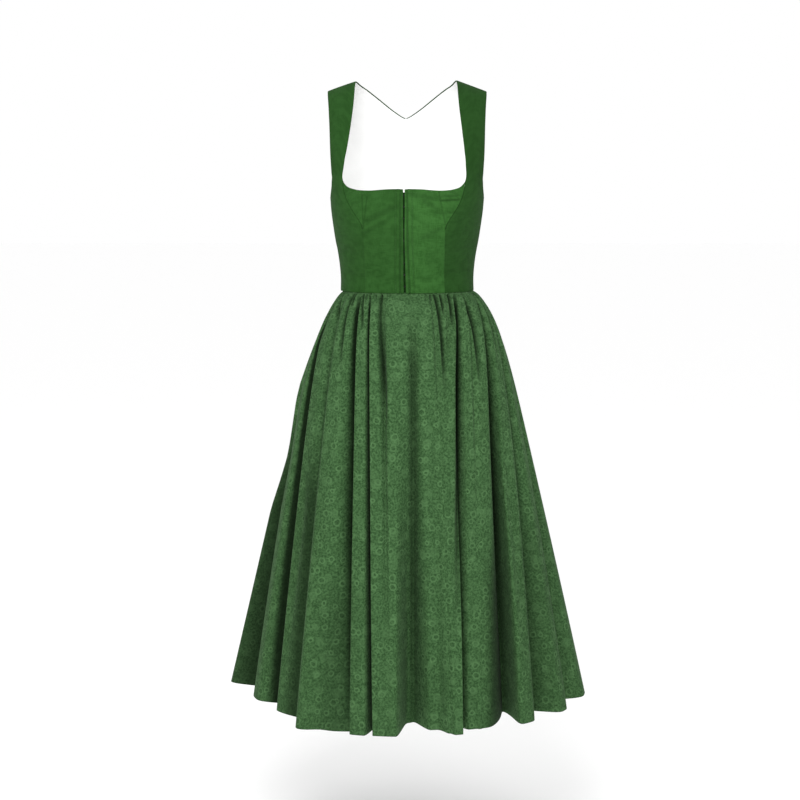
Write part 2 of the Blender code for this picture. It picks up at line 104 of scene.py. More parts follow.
# Outlines of one half, by distance out from the front's middle and height
NECKLINE_FRONT = (
    (0.0000, -0.1900), (0.0300, -0.1902), (0.0560, -0.1922), (0.0760, -0.1918),
    (0.0900, -0.1895), (0.1000, -0.1855),
)
NECK_CORNER = (0.1076, -0.1770)
STRAP_INNER = (
    (0.1088, -0.1670), (0.1071, -0.1500), (0.1022, -0.1180), (0.0968, -0.0780),
    (0.0922, -0.0360),
)
SPLIT_POINT = (0.1015, -0.2050)
PRINCESS_SEAM = (
    (0.0705, -0.3720), (0.0705, -0.3300), (0.0710, -0.2900), (0.0722, -0.2570),
    (0.0778, -0.2440), (0.0865, -0.2310), (0.0950, -0.2180),
)
PRINCESS_TOP = ((0.1056, -0.1905),)
NECKLINE_BACK = (
    (0.0000, -0.0635), (0.0110, -0.0575), (0.0310, -0.0430), (0.0530, -0.0255),
    (0.0710, -0.0120), (0.0820, -0.0048),
)

# The armhole of one half, by the turn round from the front's middle in degrees and the height
ARMHOLE_FRONT = (
    (90.0, -0.2050), (84.0, -0.2035), (77.0, -0.1975), (70.5, -0.1850),
    (66.0, -0.1630), (62.0, -0.1300), (59.8, -0.0950), (59.6, -0.0620),
    (60.0, -0.0370),
)
ARMHOLE_BACK = (
    (90.0, -0.2050), (96.5, -0.2035), (104.0, -0.1970), (110.5, -0.1830),
    (115.0, -0.1580), (117.8, -0.1240), (119.2, -0.0900), (119.8, -0.0600),
    (119.8, -0.0370),
)

# The skirt's rings, as in the solid model: how it puffs out below the seam and over the hip, and flares
SEAM_PUFF = 0.0040
SEAM_PUFF_DROP = 0.0030
HIP_PUFF = 0.0340
HIP_PUFF_DROP = 0.0460
SIDE_FLARE = 0.2300
FRONT_FLARE = 0.2560
BACK_FLARE = 0.2420

# How the folds turn from their place at the waist to that at the hem, deepen and get narrow
SPREAD_POWER = 0.30
SPREAD_START = 0.002
DEPTH_START = 0.004
KNOT_POWER = 2.2
PINCH_TOP = 1.2
SWELL_POWER = 1.5

# How gathers and troughs run down, widen and fade, and where shade is painted into a fold's cloth
GATHER_POWER = 0.7
GATHER_RISE = 0.003
GATHER_WIDENING = 4.0
TROUGH_RISE = 0.10
FADING_SHARE = 0.45
SHADE_REACH = 1.3
SHADE_FROM = 0.45
SHADE_DEPTH = 0.018
SHADE_MIDDLE = 0.5

# The skirt's folds, as in the solid model, with how narrow each valley is in the cloth, how far its bottom
# leans under the next fold, in metres, and how quickly shade is painted into it
FOLD_COLUMNS = ("name", "waist", "hem", "near", "mid", "foot", "pinch", "crest", "swell", "lean", "dark")
FOLDS = (
    ("right_seam", -91.0, -86.0, 0.018, 0.036, 0.062, 1.7, -72.0, -0.036, 0.002, 1.6),
    ("right_outer", -79.0, -61.0, 0.024, 0.050, 0.070, 2.0, -50.7, -0.038, 0.009, 5.5),
    ("right_soft", -62.5, -41.0, 0.010, 0.018, 0.040, 1.5, -32.6, 0.012, 0.000, 0.9),
    ("right_deep", -44.0, -21.0, 0.030, 0.056, 0.014, 3.6, -14.5, 0.002, 0.020, 2.6),
    ("right_narrow", -34.0, -11.6, 0.028, 0.044, 0.050, 8.0, -9.0, 0.000, 0.002, 3.4),
    ("right_short", -22.5, -5.5, 0.010, 0.008, 0.000, 4.0, -3.6, 0.000, 0.000, 0.3),
    ("middle_wide", 3.0, 1.0, 0.004, 0.022, 0.078, 0.5, 8.0, -0.035, 0.000, 0.0),
    ("left_short", 21.0, 13.2, 0.008, 0.006, 0.010, 4.0, 15.6, 0.000, 0.000, 0.2),
    ("left_deep", 45.5, 18.4, 0.032, 0.056, 0.064, 5.0, 21.8, -0.022, -0.009, 2.6),
    ("left_fading", 57.0, 24.0, 0.008, 0.008, 0.018, 2.0, 25.4, -0.020, 0.000, 0.2),
    ("left_open", 77.8, 32.0, 0.030, 0.056, 0.080, 2.8, 41.0, -0.004, 0.064, 1.3),
    ("left_soft", 96.0, 51.0, 0.010, 0.016, 0.048, 1.5, 58.0, 0.000, 0.000, 1.0),
    ("left_outer", 106.0, 68.5, 0.013, 0.018, 0.040, 1.8, 78.5, 0.004, -0.003, 1.0),
    ("left_seam", 117.0, 90.0, 0.018, 0.036, 0.062, 2.2, 99.0, 0.002, -0.003, 1.8),
    ("back_1", 129.0, 107.0, 0.020, 0.040, 0.058, 3.4, 115.5, -0.006, 0.004, 4.0),
    ("back_2", 141.0, 123.0, 0.015, 0.032, 0.066, 1.6, 132.0, 0.006, 0.000, 1.5),
    ("back_3", 154.0, 140.0, 0.026, 0.046, 0.060, 8.0, 148.0, -0.004, 0.006, 4.0),
    ("back_4", 165.0, 155.5, 0.014, 0.028, 0.052, 1.8, 165.5, 0.004, 0.000, 1.5),
    ("back_5", 178.0, 174.0, 0.022, 0.044, 0.070, 4.0, 182.5, -0.008, -0.003, 3.0),
    ("back_6", 190.0, 190.5, 0.020, 0.036, 0.050, 9.0, 199.0, 0.008, 0.002, 4.0),
    ("back_7", 203.0, 208.0, 0.025, 0.048, 0.066, 6.0, 216.0, -0.004, -0.006, 4.0),
    ("back_8", 216.0, 224.0, 0.014, 0.030, 0.056, 1.7, 232.5, 0.004, 0.000, 1.5),
    ("back_9", 230.0, 241.0, 0.022, 0.042, 0.064, 4.4, 249.0, -0.006, -0.004, 3.5),
    ("back_10", 246.0, 257.5, 0.015, 0.034, 0.058, 1.8, 264.5, 0.004, 0.000, 1.6),
)

# The fold at the left side seam, where the back's cloth begins, and how deep every fold is at the waist seam
LEFT_SEAM_FOLD = 13
SEAM_DEPTH = 0.0012

# The fine puckers at the waist seam: how many, how unevenly spaced, how deep and how far down
PUCKERS_PER_FOLD = 6
PUCKER_DRIFT = 3
PUCKER_DRIFT_PACE = 5
PUCKER_DEPTH = 0.0010
PUCKER_DROP = 0.012

# The closure's gap, which is a little uneven, with the notch at its top
GAP_CHANGE = 0.4
GAP_POWER = 8
NOTCH_WIDTH = 0.0040
NOTCH_DEPTH = 0.0032

# Soft troughs between the skirt's folds: a name, the turn at the waist and at the hem in degrees, how far
# down each starts and ends, its half width and its depth in metres, and how much shade is painted along it.
# One without a depth is only painted shade on the side of the deep fold next to it.
TROUGHS = (
    ("middle", 4.5, 2.6, 0.02, 0.90, 0.0080, 0.0120, 0.55),
    ("left_deep", 44.6, 15.4, 0.05, 0.56, 0.0056, 0.0120, 0.97),
    ("right_seam_side", -91.0, -87.4, 0.22, 1.50, 0.032, 0.0, 0.92),
    ("right_soft_side", -63.5, -44.2, 0.25, 1.50, 0.026, 0.0, 0.75),
    ("right_deep_side", -43.0, -23.6, 0.45, 1.50, 0.028, 0.0, 0.42),
    ("left_open_side", 75.0, 29.4, 0.40, 1.50, 0.017, 0.0, 0.70),
    ("left_soft_side", 96.0, 49.5, 0.35, 1.50, 0.030, 0.0, 0.38),
    ("left_outer_side", 105.0, 65.0, 0.35, 1.50, 0.026, 0.0, 0.32),
    ("right_waist", -91.0, -91.0, -0.06, 0.17, 0.0400, 0.0105, 0.0),
    ("right_hip", -91.0, -91.0, 0.20, 0.40, 0.0400, 0.0100, 0.0),
    ("right_of_middle", -8.0, -3.5, 0.24, 0.66, 0.012, 0.0040, 0.0),
    ("right_high", -15.0, -9.0, 0.01, 0.26, 0.007, 0.0035, 0.0),
    ("left_of_middle", 12.5, 8.0, 0.03, 0.30, 0.010, 0.0040, 0.0),
    ("left_low", 38.0, 16.0, 0.30, 0.72, 0.014, 0.0045, 0.0),
    ("right_low", -46.0, -27.5, 0.40, 1.10, 0.020, 0.0160, 0.0),
    ("left_side", 70.0, 44.0, 0.20, 0.70, 0.015, 0.0050, 0.0),
    ("right_side", -66.0, -51.0, 0.28, 0.70, 0.014, 0.0050, 0.0),
    ("back_left", 148.0, 131.0, 0.18, 0.62, 0.013, 0.0045, 0.0),
    ("back_middle", 171.0, 165.0, 0.26, 0.70, 0.012, 0.0040, 0.0),
    ("back_right", 197.0, 199.0, 0.10, 0.48, 0.011, 0.0045, 0.0),
    ("back_far_right", 223.0, 232.0, 0.30, 0.72, 0.014, 0.0050, 0.0),
)

# The gathers under the waist seam: the turn at the seam and at the lower end in degrees, how far down each
# one reaches, half its width and its depth in metres, and how much shade is painted along it
GATHERS = (
    (-97.0, -92.0, 0.070, 0.0034, 0.0054, 0.6), (-88.0, -84.0, 0.045, 0.0029, 0.0043, 0.5),
    (-82.0, -70.0, 0.110, 0.0037, 0.0065, 0.7), (-71.0, -65.5, 0.085, 0.0030, 0.0058, 0.9),
    (-68.5, -54.0, 0.060, 0.0027, 0.0059, 0.9), (-61.0, -56.0, 0.016, 0.0020, 0.0028, 0.4),
    (-51.5, -39.5, 0.130, 0.0027, 0.0065, 1.0), (-49.0, -44.0, 0.026, 0.0024, 0.0046, 1.0),
    (-36.0, -33.0, 0.018, 0.0020, 0.0032, 0.6), (-40.4, -28.6, 0.062, 0.0023, 0.0062, 1.0),
    (-28.0, -24.5, 0.012, 0.0020, 0.0026, 0.5), (-22.6, -9.6, 0.230, 0.0025, 0.0060, 0.82),
    (-17.5, -16.0, 0.012, 0.0022, 0.0017, 0.2), (15.5, 14.0, 0.012, 0.0022, 0.0015, 0.2),
    (20.0, 17.8, 0.018, 0.0022, 0.0032, 0.7), (23.4, 19.6, 0.180, 0.0028, 0.0065, 0.95),
    (28.6, 25.4, 0.040, 0.0025, 0.0058, 1.0), (37.5, 29.4, 0.062, 0.0026, 0.0062, 1.0),
    (34.5, 19.5, 0.160, 0.0044, 0.0039, 0.2), (53.6, 41.6, 0.165, 0.0030, 0.0068, 1.0),
    (60.0, 55.5, 0.018, 0.0020, 0.0030, 0.4), (71.0, 55.0, 0.105, 0.0027, 0.0065, 0.9),
    (78.0, 63.5, 0.120, 0.0027, 0.0059, 0.95), (90.0, 84.0, 0.040, 0.0024, 0.0043, 0.6),
    (99.0, 92.0, 0.080, 0.0034, 0.0054, 0.6), (109.0, 104.0, 0.038, 0.0024, 0.0039, 0.6),
    (113.0, 104.0, 0.120, 0.0032, 0.0054, 0.6), (122.5, 118.0, 0.030, 0.0022, 0.0037, 0.8),
    (126.0, 121.5, 0.062, 0.0027, 0.0050, 0.7), (135.0, 127.0, 0.100, 0.0032, 0.0054, 0.6),
    (138.5, 136.0, 0.026, 0.0020, 0.0035, 0.8), (147.0, 141.5, 0.070, 0.0029, 0.0054, 0.8),
    (150.0, 148.0, 0.030, 0.0022, 0.0037, 0.6), (159.5, 156.0, 0.044, 0.0024, 0.0045, 0.7),
    (163.0, 158.0, 0.090, 0.0032, 0.0052, 0.5), (171.0, 169.5, 0.028, 0.0022, 0.0037, 0.8),
    (174.5, 172.0, 0.060, 0.0027, 0.0050, 0.6), (182.5, 184.0, 0.036, 0.0022, 0.0041, 0.8),
    (186.0, 188.5, 0.110, 0.0032, 0.0056, 0.7), (194.5, 196.0, 0.026, 0.0020, 0.0035, 0.6),
    (198.0, 201.5, 0.070, 0.0027, 0.0050, 0.8), (208.0, 211.0, 0.048, 0.0024, 0.0045, 0.6),
    (211.5, 219.0, 0.130, 0.0034, 0.0054, 0.5), (221.0, 223.5, 0.030, 0.0022, 0.0039, 0.8),
    (225.0, 230.5, 0.074, 0.0029, 0.0052, 0.7), (235.5, 238.0, 0.040, 0.0024, 0.0043, 0.6),
    (240.5, 247.0, 0.100, 0.0032, 0.0054, 0.6), (251.0, 254.0, 0.034, 0.0022, 0.0039, 0.8),
    (255.5, 259.5, 0.060, 0.0029, 0.0050, 0.5),
)

# Darts and creases in the bodice, along straight lines seen from the front or the back: a name, 1 behind, x
# and height of both ends, half the width, the depth, and the shade painted along the line, which is 0 for a
# soft crease
CREASES = (
    ("dart_right_inner", 0, -0.0790, -0.1990, -0.0765, -0.2580, 0.0011, 0.0008, 0.50),
    ("dart_right_outer", 0, -0.0700, -0.2030, -0.0765, -0.2580, 0.0011, 0.0008, 0.50),
    ("dart_left_upper", 0, 0.0542, -0.1930, 0.0568, -0.2100, 0.0011, 0.0008, 0.60),
    ("dart_left_lower", 0, 0.0568, -0.2100, 0.0655, -0.2510, 0.0011, 0.0008, 0.55),
    ("closure_stitches", 0, -0.0075, -0.1972, 0.0105, -0.1970, 0.0010, 0.0006, 0.45),
    ("bust_left_high", 0, 0.0540, -0.2030, 0.0880, -0.2015, 0.0020, 0.0012, 0.40),
    ("bust_left_middle", 0, 0.0585, -0.2095, 0.0900, -0.2085, 0.0018, 0.0014, 0.70),
    ("bust_left_low", 0, 0.0480, -0.2300, 0.0830, -0.2300, 0.0026, 0.0012, 0.30),
    ("bust_left_rise", 0, 0.0300, -0.2110, 0.0580, -0.2290, 0.0050, 0.0020, 0.30),
    ("bust_left_inner", 0, 0.0060, -0.1990, 0.0460, -0.2060, 0.0048, 0.0018, 0.32),
    ("bust_left_waist", 0, 0.0580, -0.2600, 0.0280, -0.2750, 0.0056, 0.0016, 0.22),
    ("bust_right", 0, -0.0700, -0.2440, -0.0200, -0.2200, 0.0062, 0.0024, 0.40),
    ("bust_right_low", 0, -0.0740, -0.2680, -0.0400, -0.2460, 0.0050, 0.0016, 0.26),
    ("bust_right_high", 0, -0.0980, -0.2180, -0.0800, -0.2080, 0.0032, 0.0010, 0.14),
    ("waist_right", 0, -0.1050, -0.3400, -0.0300, -0.3520, 0.0070, 0.0012, 0.0),
    ("waist_left", 0, 0.1020, -0.3360, 0.0350, -0.3500, 0.0065, 0.0011, 0.0),
    ("rib_right", 0, -0.1180, -0.2950, -0.0820, -0.3080, 0.0060, 0.0010, 0.0),
    ("rib_left", 0, 0.1150, -0.2900, 0.0750, -0.3060, 0.0060, 0.0010, 0.0),
    ("strap_right", 0, -0.1320, -0.1700, -0.1120, -0.1480, 0.0050, 0.0009, 0.0),
    ("strap_left", 0, 0.1300, -0.1720, 0.1060, -0.1500, 0.0050, 0.0009, 0.0),
    ("back_waist_left", 1, 0.1000, -0.3420, 0.0150, -0.3540, 0.0075, 0.0013, 0.0),
    ("back_waist_right", 1, -0.0980, -0.3380, -0.0200, -0.3500, 0.0070, 0.0012, 0.0),
    ("back_rib_left", 1, 0.1200, -0.2850, 0.0500, -0.3150, 0.0080, 0.0013, 0.0),
    ("back_rib_right", 1, -0.1180, -0.2780, -0.0450, -0.3100, 0.0080, 0.0012, 0.0),
    ("back_arm_left", 1, 0.1250, -0.1900, 0.0700, -0.1500, 0.0085, 0.0013, 0.0),
    ("back_arm_right", 1, -0.1260, -0.1860, -0.0750, -0.1420, 0.0085, 0.0012, 0.0),
)

# How much shallower a crease gets towards its second end
CREASE_FADING = 0.5

# How finely the cloth is divided, in rows and columns, and how closely places on it are looked up
EDGE_STEPS = (0.0, 0.0005, 0.0011, 0.0019, 0.0030)
LOWER_ROWS = 96
CORNER_ROWS = 14
STRAP_ROWS = 76
CENTRE_COLUMNS = 62
SIDE_COLUMNS = 40
BACK_COLUMNS = 50
BACK_MIDDLE_ROWS = 56
BACK_STRAP_ROWS = 34
SKIRT_ROWS = 60
ROW_POWER = 2.0
COLUMN_TURN = 0.34
FOLD_STEPS = 3
VALLEY_POWER = 1.2
CORNER_SHARE = 0.25
BACK_MIDDLE_SHARE = 0.5
STEP = 1e-4
FINE_STEPS = 48
HALVINGS = 40
ARMHOLE_ROUNDS = 6


def curve(before, low, high, after, part):
    """A value at this part of the way from low to high, on a Catmull-Rom curve through all four."""
    bend = 2 * before - 5 * low + 4 * high - after
    twist = 3 * (low - high) + after - before
    return low + 0.5 * part * (high - before + part * (bend + part * twist))


def smooth(rows, at):
    """Rows of a table read between its rows, on a Catmull-Rom curve: 0 is the first row."""
    rows = np.asarray(rows, float)
    padded = np.concatenate((2 * rows[:1] - rows[1:2], rows, 2 * rows[-1:] - rows[-2:-1]))
    at = np.clip(np.asarray(at, float), 0, len(rows) - 1)
    first = np.minimum(at.astype(int), len(rows) - 2)
    part = (at - first)[..., None]
    return curve(*(padded[first + step] for step in range(4)), part)


def columns_of(table, names):
    """The number columns of a table of named rows, by name."""
    return {name: np.array([row[index] for row in table]) for index, name in enumerate(names) if index}


def section(station):
    """The named sizes of the bodice's section at this station of its table."""
    values = smooth(BODICE_SECTIONS, station)
    return {name: values[..., index] for index, name in enumerate(BODICE_COLUMNS)}


def fall(out, slope):
    """How far a section drops at this distance out. It is nothing at the neck."""
    return slope * (np.sqrt(out**2 + ROUNDING**2) - math.hypot(NECK_HALF_WIDTH, ROUNDING))


def bodice_point(turn, station):
    """The outside of the bodice. The turn runs from the front's middle towards +X, in radians."""
    size = section(station)
    sine, cosine = np.sin(turn), np.cos(turn)
    power = size["boxy"]
    unit = (np.abs(sine) ** power + np.abs(cosine) ** power) ** (1 / power)
    out = size["half_width"] * sine / unit
    depth = np.where(cosine > 0, size["front"], size["back"])
    from_bust = (np.abs(out - size["shift"]) - BUST_HALF_SPACING) / BUST_SPREAD
    fullness = size["bust"] * np.exp(-(from_bust**2)) * np.clip(cosine * BUST_FADING, 0, 1)
    deep = size["middle"] - depth * cosine / unit - fullness
    return np.stack([out, deep, size["height"] - fall(out, size["slope"])], axis=-1)


def station_of(out, height):
    """The station of the section that passes this height at this distance out."""
    low = np.zeros(np.broadcast(out, height).shape)
    high = low + SHOULDER_STATION
    for _ in range(HALVINGS):
        middle = (low + high) / 2
        size = section(middle)
        under = size["height"] - fall(out, size["slope"]) < height
        low, high = np.where(under, middle, low), np.where(under, high, middle)
    return middle


def turn_of(out, station, behind):
    """The turn at which a section reaches this distance out, in front or behind."""
    size = section(station)
    share = np.clip(out / size["half_width"], -1, 1)
    rest = (1 - np.abs(share) ** size["boxy"]) ** (1 / size["boxy"])
    return np.arctan2(share, -rest if behind else rest)


def seat(points, side, behind=False):
    """Turn and station of points given by distance out and height, on one side of the body."""
    out, height = np.moveaxis(np.asarray(points, float), -1, 0)
    station = station_of(side * out, height)
    out = side * out + section(station)["shift"]
    station = station_of(out, height)
    turn = turn_of(out, station, behind)
    if behind:
        turn = side * ((side * turn) % (2 * math.pi))
    return np.stack([turn, station], axis=-1)


def seat_armhole(points, side):
    """Turn and station of points given by turn in degrees and height."""
    turn, height = np.radians([row[0] for row in points]), np.array([row[1] for row in points])
    station = np.full(len(points), SHOULDER_STATION / 2)
    for _ in range(ARMHOLE_ROUNDS):
        station = station_of(bodice_point(turn, station)[:, 0], height)
    return np.stack([side * turn, station], axis=1)


def shoulder_end(side, inner, behind):
    """Turn and station of a strap's inner or outer corner at the shoulder seam."""
    station = SHOULDER_STATION - SHOULDER_GAP
    if inner:
        out = side * NECK_HALF_WIDTH + section(station)["shift"]
        return np.array([[turn_of(out, station, behind), station]])
    turn = math.pi - math.radians(SHOULDER_TURN) if behind else math.radians(SHOULDER_TURN)
    return np.array([[side * turn, station]])


def lengths_along(points, axis=0):
    """How far each point lies along its line from the line's first one."""
    gaps = np.linalg.norm(np.diff(points, axis=axis), axis=-1)
    return np.insert(np.cumsum(gaps, axis=axis), 0, 0.0, axis=axis)


def along(points, shares, surface=None):
    """Points at these shares of the length of a smooth curve through the given ones."""
    fine = smooth(points, np.linspace(0, len(points) - 1, FINE_STEPS * len(points)))
    lengths = lengths_along(surface(fine[:, 0], fine[:, 1]) if surface else fine)
    wanted = np.asarray(shares) * lengths[-1]
    return np.stack([np.interp(wanted, lengths, fine[:, axis]) for axis in (0, 1)], axis=1)


def ruled(first, last, across):
    """A grid of straight rows from each first point to its last one."""
    return first[:, None] + np.asarray(across)[..., None] * (last - first)[:, None]


def stepped(length, count, low=True, high=True):
    """Shares of this length from 0 to 1, even but for lines close to the ends that have a rolled edge."""
    near = np.array(EDGE_STEPS) / np.asarray(length, float)[..., None]
    start = near if low else near[..., :1]
    stop = 1 - near[..., ::-1] if high else 1 - near[..., :1]
    even = start[..., -1:] + np.linspace(0, 1, count + 1)[1:-1] * (stop[..., :1] - start[..., -1:])
    return np.concatenate([start, even, stop], axis=-1)


def edged(first, last, count, high=True):
    """A grid of straight rows on the bodice, with lines close to its sides."""
    length = np.linalg.norm(bodice_point(*first.T) - bodice_point(*last.T), axis=1)
    return ruled(first, last, stepped(length, count, high=high))


# Shares of the way up each stretch of a panel, from about how long it is
LOW_SHARES = stepped(0.172, LOWER_ROWS, high=False)
CORNER_SHARES = stepped(0.030, CORNER_ROWS, low=False)
STRAP_SHARES = stepped(0.185, STRAP_ROWS, low=False)
BACK_MIDDLE_SHARES = stepped(0.150, BACK_MIDDLE_ROWS, low=False, high=False)
BACK_STRAP_SHARES = stepped(0.110, BACK_STRAP_ROWS, low=False)
CENTRE_SHARES = stepped(0.085, CENTRE_COLUMNS)


def princess():
    """The seam from the waist up to the neckline's corner."""
    low = along(np.array(PRINCESS_SEAM + (SPLIT_POINT,)), LOW_SHARES)
    high = along(np.array((SPLIT_POINT,) + PRINCESS_TOP + (NECK_CORNER,)), CORNER_SHARES)
    return np.concatenate([low, high[1:]])


def centre_front(side):
    """Places of the panel between the closure and the princess seam, up to the neckline."""
    seam = princess()
    start, top_edge = NECKLINE_FRONT[0][1], NECKLINE_FRONT[1:] + (tuple(seam[-1]),)
    neckline = np.array(((CLOSURE_GAP / 2, start - NOTCH_DEPTH), (NOTCH_WIDTH, start)) + top_edge)
    top = along(neckline, CENTRE_SHARES)
    up = (seam[:, 1] - seam[0, 1]) / (seam[-1, 1] - seam[0, 1])
    waist = ruled(np.array([[CLOSURE_GAP / 2, WAIST_HEIGHT]]), seam[:1], CENTRE_SHARES)[0]
    closure = ruled(waist[:1], top[:1], up)[0]
    closure[:, 0] += GAP_CHANGE * CLOSURE_GAP / 2 * np.cos(2 * math.pi * up) * (1 - up**GAP_POWER)
    rise = up[:, None, None]
    low, high = (ruled(line[:1], line[-1:], CENTRE_SHARES) for line in (waist, top))
    corners = (1 - rise) * low + rise * high
    return seat(ruled(closure, seam, CENTRE_SHARES) + (1 - rise) * waist + rise * top - corners, side)


def side_seam(side):
    """Places up the side seam."""
    turn, height = np.radians(ARMHOLE_FRONT[0][0]), ARMHOLE_FRONT[0][1]
    top = float(station_of(bodice_point(turn, UNDERARM_STATION)[0], height))
    return np.stack([np.full(len(LOW_SHARES), side * turn), top * LOW_SHARES], axis=1)


def armhole(side, seam, rows, behind, middle_share, middle_shares, strap_shares):
    """Places from the underarm round to the shoulder."""
    points = np.concatenate([seam[-1:], seat_armhole(rows[1:], side), shoulder_end(side, False, behind)])
    high = middle_share + (1 - middle_share) * strap_shares[1:]
    shares = np.concatenate([middle_share * middle_shares, high])
    return along(points, shares, bodice_point)


def side_front(side):
    """Places of the panel from the princess seam to the side seam, which runs on up as the front strap."""
    strap = np.concatenate([seat((NECK_CORNER,) + STRAP_INNER, side), shoulder_end(side, True, False)])
    inner = np.concatenate([seat(princess(), side), along(strap, STRAP_SHARES, bodice_point)[1:]])
    seam = side_seam(side)
    outer = armhole(side, seam, ARMHOLE_FRONT, False, CORNER_SHARE, CORNER_SHARES, STRAP_SHARES)
    return edged(inner, np.concatenate([seam, outer[1:]]), SIDE_COLUMNS)


def half_back(side):
    """Places of one half of the back, from the side seam and the armhole to the middle and the neckline."""
    seam = side_seam(side)
    outer = armhole(side, seam, ARMHOLE_BACK, True, BACK_MIDDLE_SHARE, BACK_MIDDLE_SHARES, BACK_STRAP_SHARES)
    neckline = np.concatenate([seat(NECKLINE_BACK, side, True), shoulder_end(side, True, True)])
    neckline = along(neckline, BACK_STRAP_SHARES, bodice_point)
    low = seam[-1, 1] + BACK_MIDDLE_SHARES[1:] * (neckline[0, 1] - seam[-1, 1])
    low = np.concatenate([seam[:, 1], low])
    turn = turn_of(section(low)["shift"], low, True)
    middle = np.stack([side * ((side * turn) % (2 * math.pi)), low], axis=1)
    return edged(np.concatenate([seam, outer[1:]]), np.concatenate([middle, neckline[1:]]), BACK_COLUMNS)


def outward(surface, first, second):
    """The unit normals of a surface that is given by two numbers."""
    across = surface(first + STEP, second) - surface(first - STEP, second)
    upwards = surface(first, second + STEP) - surface(first, second - STEP)
    normals = np.cross(across, upwards)
    return normals / np.linalg.norm(normals, axis=-1, keepdims=True)


def bell(distance, width):
    """A smooth hump that is 1 at no distance and fades over this width."""
    return np.exp(-((distance / width) ** 2))


def creased(points, behind):
    """How deep the listed creases are at these points, and how much shade is painted along their lines."""
    depth, dark = np.zeros(points.shape[:-1]), np.zeros(points.shape[:-1])
    seen = points[..., (0, 2)]
    for _, back, x0, z0, x1, z1, width, deep, line in CREASES:
        if bool(back) != behind:
            continue
        start, run = np.array([x0, z0]), np.array([x1 - x0, z1 - z0])
        share = np.clip((seen - start) @ run / (run @ run), 0, 1)
        off = np.linalg.norm(seen - start - share[..., None] * run, axis=-1)
        near = bell(off, width)
        depth += deep * near * (1 - CREASE_FADING * share)
        # Painted shade along the crease's line
        dark = np.maximum(dark, line * near)
    return depth, dark


def rolled(distance, width, depth):
    """How far an edge of this width rolls in at this distance from it."""
    return depth * np.clip(1 - distance / width, 0, 1) ** 2


def fold_sizes(place):
    """The rows of the fold table on both sides of a crest, and the part from one to the other."""
    table = columns_of(FOLDS, FOLD_COLUMNS)
    number = np.floor(place).astype(int)
    count = len(FOLDS)
    here = {name: values[number % count] for name, values in table.items()}
    after = {name: values[(number + 1) % count] for name, values in table.items()}
    for sizes, laps in ((here, number // count), (after, (number + 1) // count)):
        for name in ("waist", "hem", "crest"):
            sizes[name] = sizes[name] + 360 * laps
    return here, after, place - number


def eased(share, power, start):
    """A power of a share from 0 to 1 that sets off less steeply."""
    return ((share + start) ** power - start**power) / ((1 + start) ** power - start**power)


def read_knots(knots, at):
    """Values between four evenly spaced knots, each point with its own knots."""
    first = np.minimum(at.astype(int), 2)
    part = at - first
    ends = 2 * knots[..., :1] - knots[..., 1:2], 2 * knots[..., -1:] - knots[..., -2:-1]
    padded = np.concatenate([ends[0], knots, ends[1]], axis=-1)
    read = (np.take_along_axis(padded, (first + step)[..., None], -1)[..., 0] for step in range(4))
    return curve(*read, part)


def drawn(turn, drop, radius):
    """How deep the gathers and soft troughs are, and how much shade is painted along them: each runs down
    its own line on the skirt.
    """
    depth, dark = np.zeros(turn.shape), np.zeros(turn.shape)
    share = drop / SKIRT_LENGTH
    lines = []
    for _, waist, hem, start, end, width, deep, shade in TROUGHS:
        line = waist + (hem - waist) * eased(share, SPREAD_POWER, SPREAD_START)
        lines.append((line, start, TROUGH_RISE, end, width, deep, shade))
    for waist, low, reach, width, deep, shade in GATHERS:
        line = waist + (low - waist) * (drop / reach) ** GATHER_POWER
        lines.append((line, 0.0, GATHER_RISE, reach, width * (1 + GATHER_WIDENING * drop), deep, shade))
    for line, start, rise, end, width, deep, shade in lines:
        off = (turn - np.radians(line) + math.pi) % (2 * math.pi) - math.pi
        fading = np.clip((end - drop) / (FADING_SHARE * (end - start)), 0, 1)
        window = np.clip((drop - start) / rise, 0, 1) * fading
        near = bell(off * radius, width) * window
        depth += deep * near
        dark = np.maximum(dark, shade * near)
    return depth, dark


def pinched_in(near, away, down):
    """How far the cloth is drawn into its valley, from 0 at the crest to 1 at the valley's bottom."""
    low = (1 + np.cos(math.pi * away)) / 2
    pinch = near["pinch"] * (1 + PINCH_TOP * (1 - down))
    return np.where(pinch >= 1, low**pinch, 1 - (1 - low) ** (1 / pinch))


def fold_depth(near, down):
    """How deep the valley is at this share of the way down."""
    knots = [np.full_like(near["near"], SEAM_DEPTH), near["near"], near["mid"], near["foot"]]
    knots = np.stack(knots, axis=-1)
    return read_knots(knots, 3 * eased(down, 1 / KNOT_POWER, DEPTH_START))


def puckers(place, drop):
    """How deep the fine puckers under the waist seam are."""
    drift = PUCKER_DRIFT * np.sin(PUCKER_DRIFT_PACE * place)
    pucker = 1 - np.cos(2 * math.pi * PUCKERS_PER_FOLD * place + drift)
    return PUCKER_DEPTH / 2 * pucker * np.exp(-drop / PUCKER_DROP)


def skirt_ring(drop):
    """How far the skirt reaches from its middle to the side, to the front and to the back."""
    puff = SEAM_PUFF * (1 - np.exp(-drop / SEAM_PUFF_DROP)) + HIP_PUFF * (1 - np.exp(-drop / HIP_PUFF_DROP))
    waist = section(np.array(0.0))
    wide = waist["half_width"] + puff + SIDE_FLARE * drop
    front, back = waist["front"] + FRONT_FLARE * drop, waist["back"] + BACK_FLARE * drop
    return wide, front + puff, back + puff


